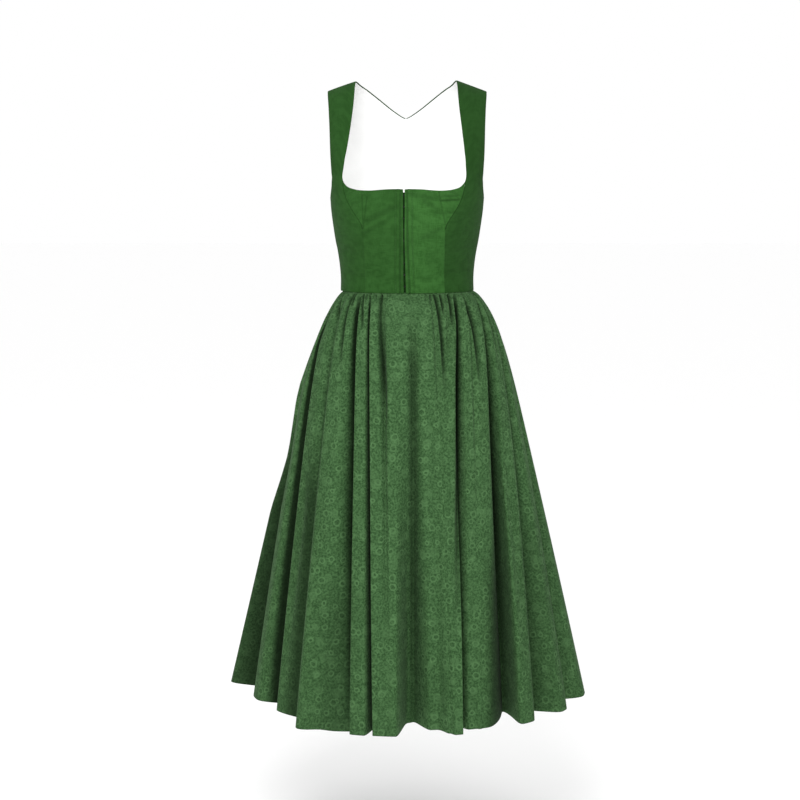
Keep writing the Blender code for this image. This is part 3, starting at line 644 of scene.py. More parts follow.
def skirt_point(place, height):
    """The outside of the skirt and the shade painted on it. The place counts the folds from the right side
    seam.
    """
    place, drop = np.broadcast_arrays(np.asarray(place, float), np.maximum(SKIRT_TOP - height, 0))
    here, after, part = fold_sizes(place)
    down = np.clip(drop / SKIRT_LENGTH, 0, 1)
    spread = eased(down, SPREAD_POWER, SPREAD_START)
    crest = (here["waist"] + after["waist"]) / 2 * (1 - spread) + here["crest"] * spread
    rising = part < 0.5
    near = {name: np.where(rising, here[name], after[name]) for name in here}
    valley = near["waist"] * (1 - spread) + near["hem"] * spread
    away = np.where(rising, part, 1 - part) * 2
    turn = np.radians(valley + (crest - valley) * away)
    pinched, depth = pinched_in(near, away, down), fold_depth(near, down)
    wide, front, back = skirt_ring(drop)
    pulled, dark = drawn(turn, drop, wide)
    inward = depth * pinched - here["swell"] * down**SWELL_POWER * (1 - pinched)
    inward = inward + pulled + puckers(place, drop)
    # Painted shade: cloth deep in a valley is darkened as if little light reaches it
    deepening = near["dark"] * (SHADE_REACH - down) / (SHADE_REACH - SHADE_MIDDLE)
    shade = np.clip(deepening * pinched - SHADE_FROM, 0, 1) * np.clip(depth / SHADE_DEPTH, 0, 1)
    shade = shade * shade * (3 - 2 * shade)
    turn = turn + near["lean"] * pinched * down * (2 - down) / wide
    deep = np.where(np.cos(turn) < 0, back, front)
    out, away_from = wide * np.sin(turn), -deep * np.cos(turn)
    scale = 1 - inward / np.hypot(out, away_from)
    points = np.stack([out * scale, away_from * scale, SKIRT_TOP - drop], axis=-1)
    return points, np.maximum(shade, dark)


class Nodes:
    """A node tree that is filled by short calls, with values or sockets as inputs."""

    def __init__(self, tree):
        self.tree = tree

    def add(self, kind, inputs=None, **settings):
        """A new node with these settings. Inputs are given by name or number."""
        node = self.tree.nodes.new(kind)
        for name, value in settings.items():
            setattr(node, name, value)
        for name, value in (inputs or {}).items():
            if isinstance(value, bpy.types.NodeSocket):
                self.tree.links.new(value, node.inputs[name])
            else:
                node.inputs[name].default_value = value
        return node

    def math(self, operation, first, second=0.0, third=0.0):
        """One step of arithmetic."""
        return self.add("ShaderNodeMath", {0: first, 1: second, 2: third}, operation=operation).outputs[0]

    def vector(self, operation, first, second=(0, 0, 0)):
        """One step of vector arithmetic."""
        return self.add("ShaderNodeVectorMath", {0: first, 1: second}, operation=operation).outputs[0]

    def ramp(self, value, low, high, bottom=0.0, top=1.0):
        """A value moved smoothly from one range to another."""
        inputs = {"Value": value, "From Min": low, "From Max": high, "To Min": bottom, "To Max": top}
        return self.add("ShaderNodeMapRange", inputs, interpolation_type="SMOOTHSTEP").outputs["Result"]

    def mix(self, share, first, second):
        """Two colours mixed."""
        return self.add("ShaderNodeMix", {0: share, 6: first, 7: second}, data_type="RGBA").outputs[2]

    def noise(self, place, scale, detail=2.0, rough=0.5, distort=0.0):
        """Noise at this scale, from 0 to 1."""
        inputs = {"Vector": place, "Scale": scale, "Detail": detail, "Roughness": rough}
        inputs["Distortion"] = distort
        return self.add("ShaderNodeTexNoise", inputs, noise_dimensions="2D").outputs[0]

    def stretched(self, place, across, along_it):
        """The cloth's coordinates, scaled unevenly."""
        return self.add("ShaderNodeMapping", {"Vector": place, "Scale": (across, along_it, 1.0)}).outputs[0]

    def seam(self):
        """How dark the cloth is made, from 0 to 1: painted shade near a sewn line, crease or edge, deep in a
        fold and on panels turned from the light, and the back's darker tone.
        """
        return self.add("ShaderNodeAttribute", attribute_name="seam").outputs["Fac"]

    def feed(self, value, node, name):
        """Links a value to an input of a node."""
        self.tree.links.new(value, node.inputs[name])


def tinted(colour, scale=1.0):
    """A colour that is lighter or darker by this much, as a node takes it."""
    return (*(np.array(colour) * scale), 1.0)


def new_group(name, inputs, outputs):
    """An empty node group on the cloth's coordinates with these numbers, and the helper that fills it."""
    group = bpy.data.node_groups.new(name, "ShaderNodeTree")
    group.interface.new_socket("Cloth", in_out="INPUT", socket_type="NodeSocketVector")
    for label in inputs:
        group.interface.new_socket(label, in_out="INPUT", socket_type="NodeSocketFloat")
    for label in outputs:
        group.interface.new_socket(label, in_out="OUTPUT", socket_type="NodeSocketFloat")
    nodes = Nodes(group)
    return group, nodes, nodes.add("NodeGroupInput").outputs, nodes.add("NodeGroupOutput")


# How much lighter or darker than its colour the linen is in its light and dark threads, and in painted shade
LINEN_LIGHT = (1.42, 1.26, 1.48)
LINEN_DARK = 0.74
LINEN_PAINTED_SHADE = 0.30

# How much of the linen is plain, of the blotches dark, and of the clouds light
LINEN_PLAIN = 0.30
LINEN_BLOTCH = 0.62
LINEN_CLOUD = 0.62

# The same for the print's ground, dark, and under the shade painted deep in a fold, and how far the motifs
# wander
PRINT_DARK = 0.62
PRINT_PAINTED_SHADE = 0.08
PRINT_WOBBLE = (0.004, 0.004, 0.0)

# How much of the print is plain ground, how dark its patches are, and the step from motif to motif
PRINT_PLAIN = 0.45
PRINT_PATCH = 0.26
MOTIF_STEP = (0.37, 0.19)

# The print's fine winding strokes: how fine, a shift, how strong, and the tone
PRINT_STROKES = ((120.0, 0.0, 0.80, "dark"), (145.0, 3.0, 0.58, "light"))

# The print's motifs: a name, the cell that holds one, the ring's radius and line in metres, its waves, how
# many cells are filled, how strong the line and the middle are, and the middle's tone
PRINT_MOTIFS = (
    ("small", 0.0200, 0.0045, 0.0018, 6.0, 0.50, 0.80, 0.32, "dark"),
    ("flower", 0.0270, 0.0058, 0.0024, 5.0, 0.50, 0.45, 0.45, "light"),
    ("dots", 0.0130, 0.0010, 0.0014, 3.0, 0.30, 0.55, 0.00, "dark"),
)


def motif_group():
    """Small rings with wavy edges, scattered one to a cell: masks of the line and of the middle."""
    group, nodes, given, result = new_group(
        "scattered_rings", ("Cell", "Radius", "Line", "Petals", "Share"), ("Ring", "Middle")
    )
    scale = nodes.math("DIVIDE", 1.0, given["Cell"])
    inputs = {"Vector": given["Cloth"], "Scale": scale, "Randomness": 0.85}
    cells = nodes.add("ShaderNodeTexVoronoi", inputs, voronoi_dimensions="2D")
    from_centre = nodes.vector("SUBTRACT", given["Cloth"], cells.outputs["Position"])
    place = nodes.add("ShaderNodeSeparateXYZ", {0: from_centre}).outputs
    chance = nodes.add("ShaderNodeSeparateColor", {0: cells.outputs["Color"]}).outputs
    turn = nodes.math("ARCTAN2", place["Y"], place["X"])
    turn = nodes.math("MULTIPLY", turn, given["Petals"])
    turn = nodes.math("ADD", turn, nodes.math("MULTIPLY", chance[2], 6.0))
    wave = nodes.math("MULTIPLY_ADD", nodes.math("SINE", turn), 0.05, 1.0)
    size = nodes.math("MULTIPLY", given["Radius"], nodes.math("MULTIPLY_ADD", chance[0], 0.55, 0.70))
    size = nodes.math("MULTIPLY", size, wave)
    out = nodes.math("DIVIDE", cells.outputs["Distance"], scale)
    off = nodes.math("ABSOLUTE", nodes.math("SUBTRACT", out, size))
    there = nodes.ramp(chance[1], given["Share"], nodes.math("ADD", given["Share"], 0.25), 1.0, 0.0)
    line = nodes.ramp(off, nodes.math("MULTIPLY", given["Line"], 0.35), given["Line"], 1.0, 0.0)
    low, high = (nodes.math("MULTIPLY", size, part) for part in (0.45, 0.85))
    inside = nodes.ramp(out, low, high, 1.0, 0.0)
    nodes.feed(nodes.math("MULTIPLY", line, there), result, "Ring")
    nodes.feed(nodes.math("MULTIPLY", inside, there), result, "Middle")
    return group


def weave_group():
    """A plain weave as a height, from the threads' pitch, with uneven threads."""
    group, nodes, given, result = new_group("plain_weave", ("Pitch", "Slub"), ("Height", "Streak"))
    warp = nodes.noise(nodes.stretched(given["Cloth"], 900.0, 60.0), 1.0, 2.0)
    weft = nodes.noise(nodes.stretched(given["Cloth"], 60.0, 900.0), 1.0, 2.0)
    place = nodes.add("ShaderNodeSeparateXYZ", {0: given["Cloth"]}).outputs
    pace = nodes.math("DIVIDE", 2 * math.pi, given["Pitch"])
    across = nodes.math("SINE", nodes.math("MULTIPLY", place["X"], pace))
    upwards = nodes.math("SINE", nodes.math("MULTIPLY", place["Y"], pace))
    crossing = nodes.math("MULTIPLY", across, upwards)
    streak = nodes.math("SUBTRACT", nodes.math("ADD", warp, weft), 1.0)
    height = nodes.math("MULTIPLY_ADD", streak, given["Slub"], nodes.math("MULTIPLY", crossing, 0.5))
    nodes.feed(height, result, "Height")
    nodes.feed(streak, result, "Streak")
    return group


def new_material(name):
    """An empty material, the helper that fills it and its shader."""
    made = bpy.data.materials.new(name)
    made.use_nodes = True
    return made, Nodes(made.node_tree), made.node_tree.nodes["Principled BSDF"]


def cloth_material(name, roughness, sheen, sheen_roughness):
    """A material with its cloth coordinates, and the shader that is to be fed."""
    made, nodes, shader = new_material(name)
    shader.inputs["Roughness"].default_value = roughness
    shader.inputs["Specular IOR Level"].default_value = 0.04
    shader.inputs["Sheen Weight"].default_value = sheen
    shader.inputs["Sheen Roughness"].default_value = sheen_roughness
    place = nodes.add("ShaderNodeUVMap", uv_map="cloth").outputs[0]
    return made, nodes, shader, place


def bumped(nodes, shader, height, strength, distance):
    """The shader's normals bent by a height."""
    bump = nodes.add("ShaderNodeBump", {"Height": height, "Strength": strength, "Distance": distance})
    nodes.feed(bump.outputs[0], shader, "Normal")


def woven(nodes, place, pitch, slub):
    """The plain weave's group node, with its group made once."""
    group = bpy.data.node_groups.get("plain_weave") or weave_group()
    return nodes.add("ShaderNodeGroup", {"Cloth": place, "Pitch": pitch, "Slub": slub}, node_tree=group)


def linen_material(look):
    """Dark green linen with slubs and soft blotches, darkened by painted shade along sewn lines, creases and
    edges and over panels turned from the light.
    """
    made, nodes, shader, place = cloth_material("dirndl_linen", 0.88, 0.02, 0.4)
    weave = woven(nodes, place, look.linen_pitch, 0.8)
    blotch = nodes.noise(place, 30.0, 4.0, 0.62)
    cloud = nodes.ramp(nodes.noise(nodes.stretched(place, 72.0, 90.0), 1.0, 3.0, 0.6), 0.34, 0.70)
    streak = nodes.ramp(weave.outputs["Streak"], -0.28, 0.28)
    dark, light = tinted(look.linen_color, LINEN_DARK), tinted(look.linen_color, LINEN_LIGHT)
    colour = nodes.mix(streak, dark, light)
    colour = nodes.mix(LINEN_PLAIN, colour, tinted(look.linen_color))
    colour = nodes.mix(nodes.ramp(blotch, 0.34, 0.66, 0.0, LINEN_BLOTCH), colour, dark)
    colour = nodes.mix(nodes.math("MULTIPLY", cloud, LINEN_CLOUD), colour, light)
    # Painted shade: the "seam" attribute darkens the linen along seams, creases and edges, behind the
    # closure and on panels turned from the light; on the back it also holds a darker tone
    colour = nodes.mix(nodes.seam(), colour, tinted(look.linen_color, LINEN_PAINTED_SHADE))
    nodes.feed(colour, shader, "Base Color")
    bumped(nodes, shader, weave.outputs["Height"], 0.35, 0.0004)
    return made


def print_material(look):
    """Green cotton printed with small light rings and faint flowers over a mottled ground, with shade
    painted in its folds and gathers.
    """
    made, nodes, shader, place = cloth_material("dirndl_print", 0.90, 0.02, 0.4)
    rings = motif_group()
    tones = {"dark": tinted(look.print_ground, PRINT_DARK), "light": tinted(look.print_light)}
    wobble = {"Vector": place, "Scale": 90.0, "Detail": 1.0}
    wobble = nodes.add("ShaderNodeTexNoise", wobble, noise_dimensions="2D").outputs["Color"]
    bent = nodes.vector("ADD", place, nodes.vector("MULTIPLY", wobble, PRINT_WOBBLE))
    mottle = nodes.ramp(nodes.noise(place, 260.0, 2.0, 0.6), 0.30, 0.66)
    colour = nodes.mix(mottle, tones["dark"], tones["light"])
    colour = nodes.mix(PRINT_PLAIN, colour, tinted(look.print_ground))
    for scale, shift, strength, tint in PRINT_STROKES:
        winding = nodes.noise(nodes.vector("ADD", place, (shift, 0.0, 0.0)), scale, 1.0, 0.5, 0.6)
        off = nodes.math("ABSOLUTE", nodes.math("SUBTRACT", winding, 0.5))
        stroke = nodes.ramp(off, 0.010, 0.040, 1.0, 0.0)
        broken = nodes.ramp(nodes.noise(place, 170.0 + scale, 0.0), 0.38, 0.55)
        stroke = nodes.math("MULTIPLY", nodes.math("MULTIPLY", stroke, broken), strength)
        colour = nodes.mix(stroke, colour, tones[tint])
    for index, (_, cell, radius, line, petals, share, strength, middle, fill) in enumerate(PRINT_MOTIFS):
        moved = nodes.vector("ADD", bent, (MOTIF_STEP[0] * index, MOTIF_STEP[1] * index, 0.0))
        inputs = {"Cloth": moved, "Cell": cell, "Radius": radius, "Line": line}
        inputs.update({"Petals": petals, "Share": share})
        motif = nodes.add("ShaderNodeGroup", inputs, node_tree=rings)
        colour = nodes.mix(nodes.math("MULTIPLY", motif.outputs["Middle"], middle), colour, tones[fill])
        ring = nodes.math("MULTIPLY", motif.outputs["Ring"], strength)
        colour = nodes.mix(ring, colour, tones["light"])
    patch = nodes.ramp(nodes.noise(place, 75.0, 4.0, 0.65), 0.30, 0.70, 0.0, PRINT_PATCH)
    colour = nodes.mix(patch, colour, tones["dark"])
    # Painted shade in the folds, gathers and troughs and along the hem
    colour = nodes.mix(nodes.seam(), colour, tinted(look.print_ground, PRINT_PAINTED_SHADE))
    nodes.feed(colour, shader, "Base Color")
    weave = woven(nodes, place, look.cotton_pitch, 0.3)
    bumped(nodes, shader, weave.outputs["Height"], 0.20, 0.0003)
    return made


def lining_material(look):
    """Plain white cotton."""
    made, nodes, shader, place = cloth_material("dirndl_lining", 0.88, 0.05, 0.5)
    weave = woven(nodes, place, look.cotton_pitch, 0.3)
    shades = tinted(look.lining_color, 0.985), tinted(look.lining_color)
    soft = nodes.ramp(nodes.noise(place, 30.0, 2.0), 0.35, 0.65)
    nodes.feed(nodes.mix(soft, *shades), shader, "Base Color")
    bumped(nodes, shader, weave.outputs["Height"], 0.15, 0.0003)
    return made


def thread_material(look):
    """Sewing thread a little lighter than the linen, with a soft shine."""
    made, nodes, shader, _ = cloth_material("dirndl_thread", 0.55, 0.2, 0.4)
    place = nodes.add("ShaderNodeTexCoord").outputs["Object"]
    twist = nodes.noise(place, 900.0, 1.0)
    shades = tinted(look.linen_color, 1.1), tinted(look.linen_color, 1.7)
    nodes.feed(nodes.mix(twist, *shades), shader, "Base Color")
    return made


def metal_material(look):
    """The hooks' metal: near black, partly as lacquered hooks are and partly as painted shade of the
    closure's gap, slightly dulled.
    """
    made, nodes, shader = new_material("dirndl_hook_metal")
    shader.inputs["Metallic"].default_value = 1.0
    place = nodes.add("ShaderNodeTexCoord").outputs["Object"]
    worn = nodes.noise(place, 700.0, 2.0)
    shades = tinted(look.metal_color, 0.85), tinted(look.metal_color)
    nodes.feed(nodes.mix(worn, *shades), shader, "Base Color")
    nodes.feed(nodes.ramp(worn, 0.3, 0.7, 0.25, 0.42), shader, "Roughness")
    return made


MATERIALS = {
    "dirndl_linen": linen_material,
    "dirndl_print": print_material,
    "dirndl_lining": lining_material,
    "dirndl_thread": thread_material,
    "dirndl_hook_metal": metal_material,
}


def material(name):
    """The material of this name, made once."""
    return bpy.data.materials.get(name) or MATERIALS[name](bpy.context.scene.dirndl_look)


# A stitch as rings of thread: how far along it, how thick and how high each one is
STITCH_SIDES = 6
STITCH_RINGS = (
    (0.0, 0.30, -0.9),
    (0.14, 0.85, -0.1),
    (0.5, 1.0, 0.25),
    (0.86, 0.85, -0.1),
    (1.0, 0.30, -0.9),
)

# Worked edges of the bodice: the unevenness of its cloth in waves across and up, the shade painted along a
# folded edge, and the shade painted along a seam's line with the ridge of its allowances beside it
UNEVENNESS = 0.00025
UNEVEN_WAVES = ((61, 23, 0), (0, 47, -2))
FREE_EDGE_LINE = 0.0007
FREE_EDGE_PAINTED_SHADE = 0.30
SEAM_LINE = 0.0010
SEAM_PAINTED_SHADE = 0.8
SEAM_RIDGE = 0.0005
SEAM_RIDGE_PLACE = 0.0045
SEAM_RIDGE_WIDTH = 0.0022
FLAT_SEAM = 0.2

# How much shade is painted on each of the front's panels, as how much darker than the linen's colour it is
PANEL_PAINTED_SHADE = {"front_left": 0.0, "front_right": 0.28, "side_front_left": 0.51, "side_front_right": 0.37}

# The cloth's width for a turn of one radian, the rows that a lining leaves out at an edge, how much of the
# princess seam is pressed flat, and where shade starts to be painted on the straps
TURN_WIDTH = 0.13
LINED_FROM = 3
SEAM_SHOWS = 0.66
STRAP_FROM = -0.205
STRAP_RISE = 0.050

# The strip behind the closure: its columns to each side and the rows that it leaves out at the top
STRIP_COLUMNS = 15
STRIP_SHORT = 3

# The ridge between the closure's two rows of stitches, the skirt's edge in the waist seam, and its hem with
# the shade painted along it
RIDGE_PLACE = 0.0105
SEAM_TUCK_IN = 0.0010
SEAM_TUCK_UP = 0.0022
HEM_STEPS = (0.0012, 0.0030)
HEM_LINE = 0.0008
HEM_PAINTED_SHADE = 0.5

# Lines of topstitching that the panels hand on to the sewing
SEWING = {}


def grid_quads(rows, columns, turned):
    """The quads of a grid of points, as point numbers that go round to face outwards."""
    start = (np.arange(rows - 1)[:, None] * columns + np.arange(columns - 1)[None]).reshape(-1)
    quads = np.stack([start, start + 1, start + columns + 1, start + columns], axis=1)
    return quads[:, ::-1] if turned else quads


def sheet_mesh(name, points, uv, seam, quads, finish, thickness):
    """A sheet of cloth, thickened inwards, with its coordinates, by point or corner, and the shade painted
    on it.
    """
    mesh = bpy.data.meshes.new(name)
    mesh.from_pydata(points.reshape(-1, 3), [], quads)
    corners = uv.reshape(-1, 2)[quads.reshape(-1)] if len(uv) != len(quads) else uv
    mesh.uv_layers.new(name="cloth").data.foreach_set("uv", corners.ravel())
    # The "seam" attribute holds the shade painted on the cloth, which the materials darken it by
    mesh.attributes.new("seam", "FLOAT", "POINT").data.foreach_set("value", np.clip(seam, 0, 1).ravel())
    mesh.shade_smooth()
    mesh.materials.append(material(finish))
    piece = bpy.data.objects.new(name, mesh)
    bpy.context.scene.collection.objects.link(piece)
    shell = piece.modifiers.new("Thickness", "SOLIDIFY")
    shell.thickness, shell.offset, shell.use_even_offset = thickness, -1.0, False
    return piece


def placed(piece, slot, *nodes):
    """The piece rides with the dress and stands for these nodes. The slot is not used."""
    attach(piece, "root")
    if nodes:
        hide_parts(*nodes)
    return piece


def panel(places, edges, behind, depth=0.0, grooves=()):
    """A bodice panel's points with its creases and worked edges, its cloth coordinates and the shade painted
    on it.

    Each edge is a side of the grid, free, sewn or pressed flat, and the rows that it runs over. Each groove
    keeps a distance from a side and has a width, a depth, which is below 0 for a ridge, and a painted shade.
    """
    turn, station = places[..., 0], places[..., 1]
    base = bodice_point(turn, station)
    look = bpy.context.scene.dirndl_look
    across, up = lengths_along(base, 1), lengths_along(base, 0)
    away = {"low": up, "high": up[-1:] - up, "first": across, "last": across[:, -1:] - across}
    inward, dark = creased(base, behind)
    for out, rise, start in UNEVEN_WAVES:
        inward = inward + UNEVENNESS * np.sin(base[..., 0] * out + base[..., 2] * rise + start)
    row = np.arange(len(places))[:, None]
    for side, kind, start, end in edges:
        distance = np.where((row >= start) & (row <= end), away[side], 1.0)
        if kind == "free":
            inward = inward + rolled(distance, look.free_roll_width, look.free_roll)
            # Painted shade along a folded edge
            dark = np.maximum(dark, FREE_EDGE_PAINTED_SHADE * bell(distance, FREE_EDGE_LINE))
        else:
            strength = 1 if kind == "sewn" else FLAT_SEAM
            inward = inward + rolled(distance, look.seam_roll_width, look.seam_roll * strength)
            ridge = bell(distance - SEAM_RIDGE_PLACE, SEAM_RIDGE_WIDTH)
            inward = inward - SEAM_RIDGE * strength * ridge
            # Painted shade along the seam's line
            dark = np.maximum(dark, SEAM_PAINTED_SHADE * strength * bell(distance, SEAM_LINE))
    # Each groove sinks in and has shade painted along it
    for side, distance, width, deep, shade in grooves:
        near = bell(away[side] - distance, width)
        inward, dark = inward + deep * near, np.maximum(dark, shade * near)
    points = base - outward(bodice_point, turn, station) * (inward + depth)[..., None]
    return points, np.stack([turn * TURN_WIDTH, up], axis=-1), dark, away


def inner_part(grids, rows, columns):
    """These rows and columns of some grids, thinned for a lining."""
    picked = [np.arange(start, stop, 2) for start, stop in (rows, columns)]
    picked = [np.append(found, stop) for found, (_, stop) in zip(picked, (rows, columns))]
    return [grid[np.ix_(*picked)] for grid in grids]


def line_at(points, away, distance, by_column):
    """The line on a grid that keeps this distance from one of its sides."""
    if by_column:
        points, away = points.transpose(1, 0, 2), away.T
    found = []
    for spots, gaps in zip(points, away):
        order = np.argsort(gaps)
        found.append([np.interp(distance, gaps[order], spots[order, axis]) for axis in range(3)])
    return np.array(found)


def remember(name, points, away, distance, by_column, turned):
    """Keeps a line of topstitching on a panel for the sewing operator."""
    normals = np.cross(np.gradient(points, axis=1), np.gradient(points, axis=0)) * (-1 if turned else 1)
    SEWING[name] = (line_at(points, away, distance, by_column), line_at(normals, away, distance, by_column))


class DIRNDL_OT_fronts(bpy.types.Operator):
    """Builds the linen centre and side fronts, their white linings and the strip behind the closure"""

    bl_idname = "dirndl.fronts"
    bl_label = "Bodice Fronts"

    def execute(self, context):
        look = context.scene.dirndl_look
        centre_edges, side_edges = self.edges()
        closure = {}
        for side, word in ((1, "left"), (-1, "right")):
            closure[word] = centre_front(side)
            for kind, places, edges, grooves, flat in (
                ("front", closure[word], centre_edges, self.grooves(look), (0.11, 0.20, 0.0155)),
                ("side_front", side_front(side), side_edges, (), (0.13, 0.40, 0.0310)),
            ):
                node = f"bodice_{kind}_{word}"
                piece = self.shell(look, kind, word, places, edges, grooves)
                placed(piece, "linen", node)
                node = f"lining_{kind}_{word}"
                piece = self.lining(look, kind, word, places)
                placed(piece, "lining", node)
        piece, width = self.underlap(look, closure["right"], closure["left"])
        placed(piece, "linen", "closure_underlap")
        return {"FINISHED"}

    def edges(self):
        """The worked edges of a centre front and of a side front."""
        split = len(LOW_SHARES) - 1
        shown = round(SEAM_SHOWS * split)
        corner = split + len(CORNER_SHARES) - 1
        last = corner + len(STRAP_SHARES) - 1
        centre_edges = (("low", "flat", 0, last), ("high", "free", 0, last), ("first", "free", 0, last),
                        ("last", "flat", 0, shown), ("last", "sewn", shown, last))
        side_edges = (("low", "flat", 0, last), ("high", "sewn", 0, last), ("first", "flat", 0, shown),
                      ("first", "sewn", shown, corner), ("first", "free", corner, last),
                      ("last", "sewn", 0, split), ("last", "free", split, last))
        return centre_edges, side_edges

    def grooves(self, look):
        """The rows of stitches on a centre front, with the ridges of the cloth between them and the shade
        painted along each row.
        """
        return (
            ("first", look.topstitch, 0.0014, 0.0008, 0.75),
            ("first", look.facing_width, 0.0014, 0.0006, 0.35),
            ("first", look.topstitch / 2, 0.0013, -0.0007, 0.0),
            ("first", RIDGE_PLACE, 0.0030, -0.0006, 0.0),
            ("high", look.topstitch, 0.0010, 0.0003, 0.15),
        )

    def shell(self, look, kind, word, places, edges, grooves):
        """A panel's linen. A centre front hands its lines of topstitching on to the sewing."""
        name = f"{kind}_{word}_linen"
        turned = word == "right"
        points, uv, dark, away = panel(places, edges, False, 0.0, grooves)
        # Painted shade: each front panel and the upper straps are darkened to how light falls on them, on
        # top of the shade painted along their lines
        high = np.clip((points[..., 2] - STRAP_FROM) / STRAP_RISE, 0, 1)
        panel_shade = PANEL_PAINTED_SHADE[f"{kind}_{word}"] + look.strap_shade * high
        dark = panel_shade + (1 - panel_shade) * dark
        if kind == "front":
            for distance in (look.topstitch, look.facing_width):
                remember(f"{name}_{distance:.3f}", points, away["first"], distance, False, turned)
            remember(f"{name}_neck", points, away["high"], look.topstitch, True, turned)
        quads = grid_quads(*points.shape[:2], turned)
        return sheet_mesh(name, points, uv, dark, quads, "dirndl_linen", look.linen_thickness)

    def lining(self, look, kind, word, places):
        """A panel's lining, which ends a little inside the panel's free edges."""
        rows = (LINED_FROM, len(places) - 1 - LINED_FROM * (kind == "front"))
        columns = (LINED_FROM, places.shape[1] - 1 - LINED_FROM * (kind == "side_front"))
        points, uv, dark, _ = panel(places, (), False, look.lining_depth)
        points, uv, dark = inner_part((points, uv, dark), rows, columns)
        name = f"{kind}_{word}_lining"
        quads = grid_quads(*points.shape[:2], word == "right")
        return sheet_mesh(name, points, uv, dark * 0, quads, "dirndl_lining", look.lining_thickness)

    def underlap(self, look, right, left):
        """The strip of linen behind the closure, from the places of both centre fronts, and its width."""
        sides = right[:, STRIP_COLUMNS - 1 :: -1], left[:, :STRIP_COLUMNS]
        strip = np.concatenate(sides, axis=1)[:-STRIP_SHORT]
        turn, station = strip[..., 0], strip[..., 1]
        points = bodice_point(turn, station) - outward(bodice_point, turn, station) * look.underlap_depth
        uv = np.stack([turn * TURN_WIDTH, points[..., 2]], axis=-1)
        quads = grid_quads(*points.shape[:2], False)
        # Painted shade: the strip is darkened nearly black, as the closure's gap lies in deep shade
        dark = np.full(turn.shape, look.underlap_shade)
        piece = sheet_mesh("closure_linen", points, uv, dark, quads, "dirndl_linen", look.linen_thickness)
        return piece, float(np.linalg.norm(points[0, -1] - points[0, 0]))


class DIRNDL_OT_back(bpy.types.Operator):
    """Builds the back, cut in one with both back straps, and its white lining"""

    bl_idname = "dirndl.back"
    bl_label = "Bodice Back"

    def execute(self, context):
        look = context.scene.dirndl_look
        arm = len(LOW_SHARES) - 1
        neck = arm + len(BACK_MIDDLE_SHARES) - 1
        last = neck + len(BACK_STRAP_SHARES) - 1
        edges = (("low", "flat", 0, last), ("high", "sewn", 0, last), ("first", "sewn", 0, arm),
                 ("first", "free", arm, last), ("last", "free", neck, last))
        for finish, depth, thickness in (
            ("linen", 0.0, look.linen_thickness),
            ("lining", look.lining_depth, look.lining_thickness),
        ):
            halves = []
            for side in (1, -1):
                worked = edges if finish == "linen" else ()
                points, uv, dark, _ = panel(half_back(side), worked, True, depth)
                halves.append((points, uv - (side * math.pi * TURN_WIDTH, 0), dark))
            points, uv, dark, quads = self.joined(halves, neck, finish == "lining")
            dark = look.back_tone + (1 - look.back_tone) * dark
            piece = sheet_mesh(f"back_{finish}", points, uv, dark, quads, f"dirndl_{finish}", thickness)
            node = "bodice_back" if finish == "linen" else "lining_back"
            placed(piece, finish, node)
        return {"FINISHED"}

    def joined(self, halves, neck, trimmed):
        """Both halves as one sheet, joined down the middle. A trimmed one leaves out its border."""
        rows, columns = halves[0][0].shape[:2]
        number = np.arange(rows * columns).reshape(rows, columns)
        other = number + rows * columns
        other[: neck + 1, -1] = number[: neck + 1, -1]
        row, column = np.arange(rows - 1)[:, None], np.arange(columns - 1)[None]
        keep = np.ones((rows - 1, columns - 1), bool)
        if trimmed:
            inside = (column >= LINED_FROM) & (column < columns - 1 - LINED_FROM)
            keep = np.where(row < neck, column >= LINED_FROM * (row >= len(LOW_SHARES) - 1), inside)
            keep &= row >= LINED_FROM
        quads = []
        for numbers, turned in ((number, False), (other, True)):
            local = grid_quads(rows, columns, turned)[keep.reshape(-1)]
            quads.append(numbers.reshape(-1)[local])
        points, uv, dark = (np.concatenate([half[part].reshape(rows * columns, -1) for half in halves])
                            for part in range(3))
        used, quads = np.unique(np.concatenate(quads), return_inverse=True)
        return points[used], uv[used], dark[used], quads.reshape(-1, 4)


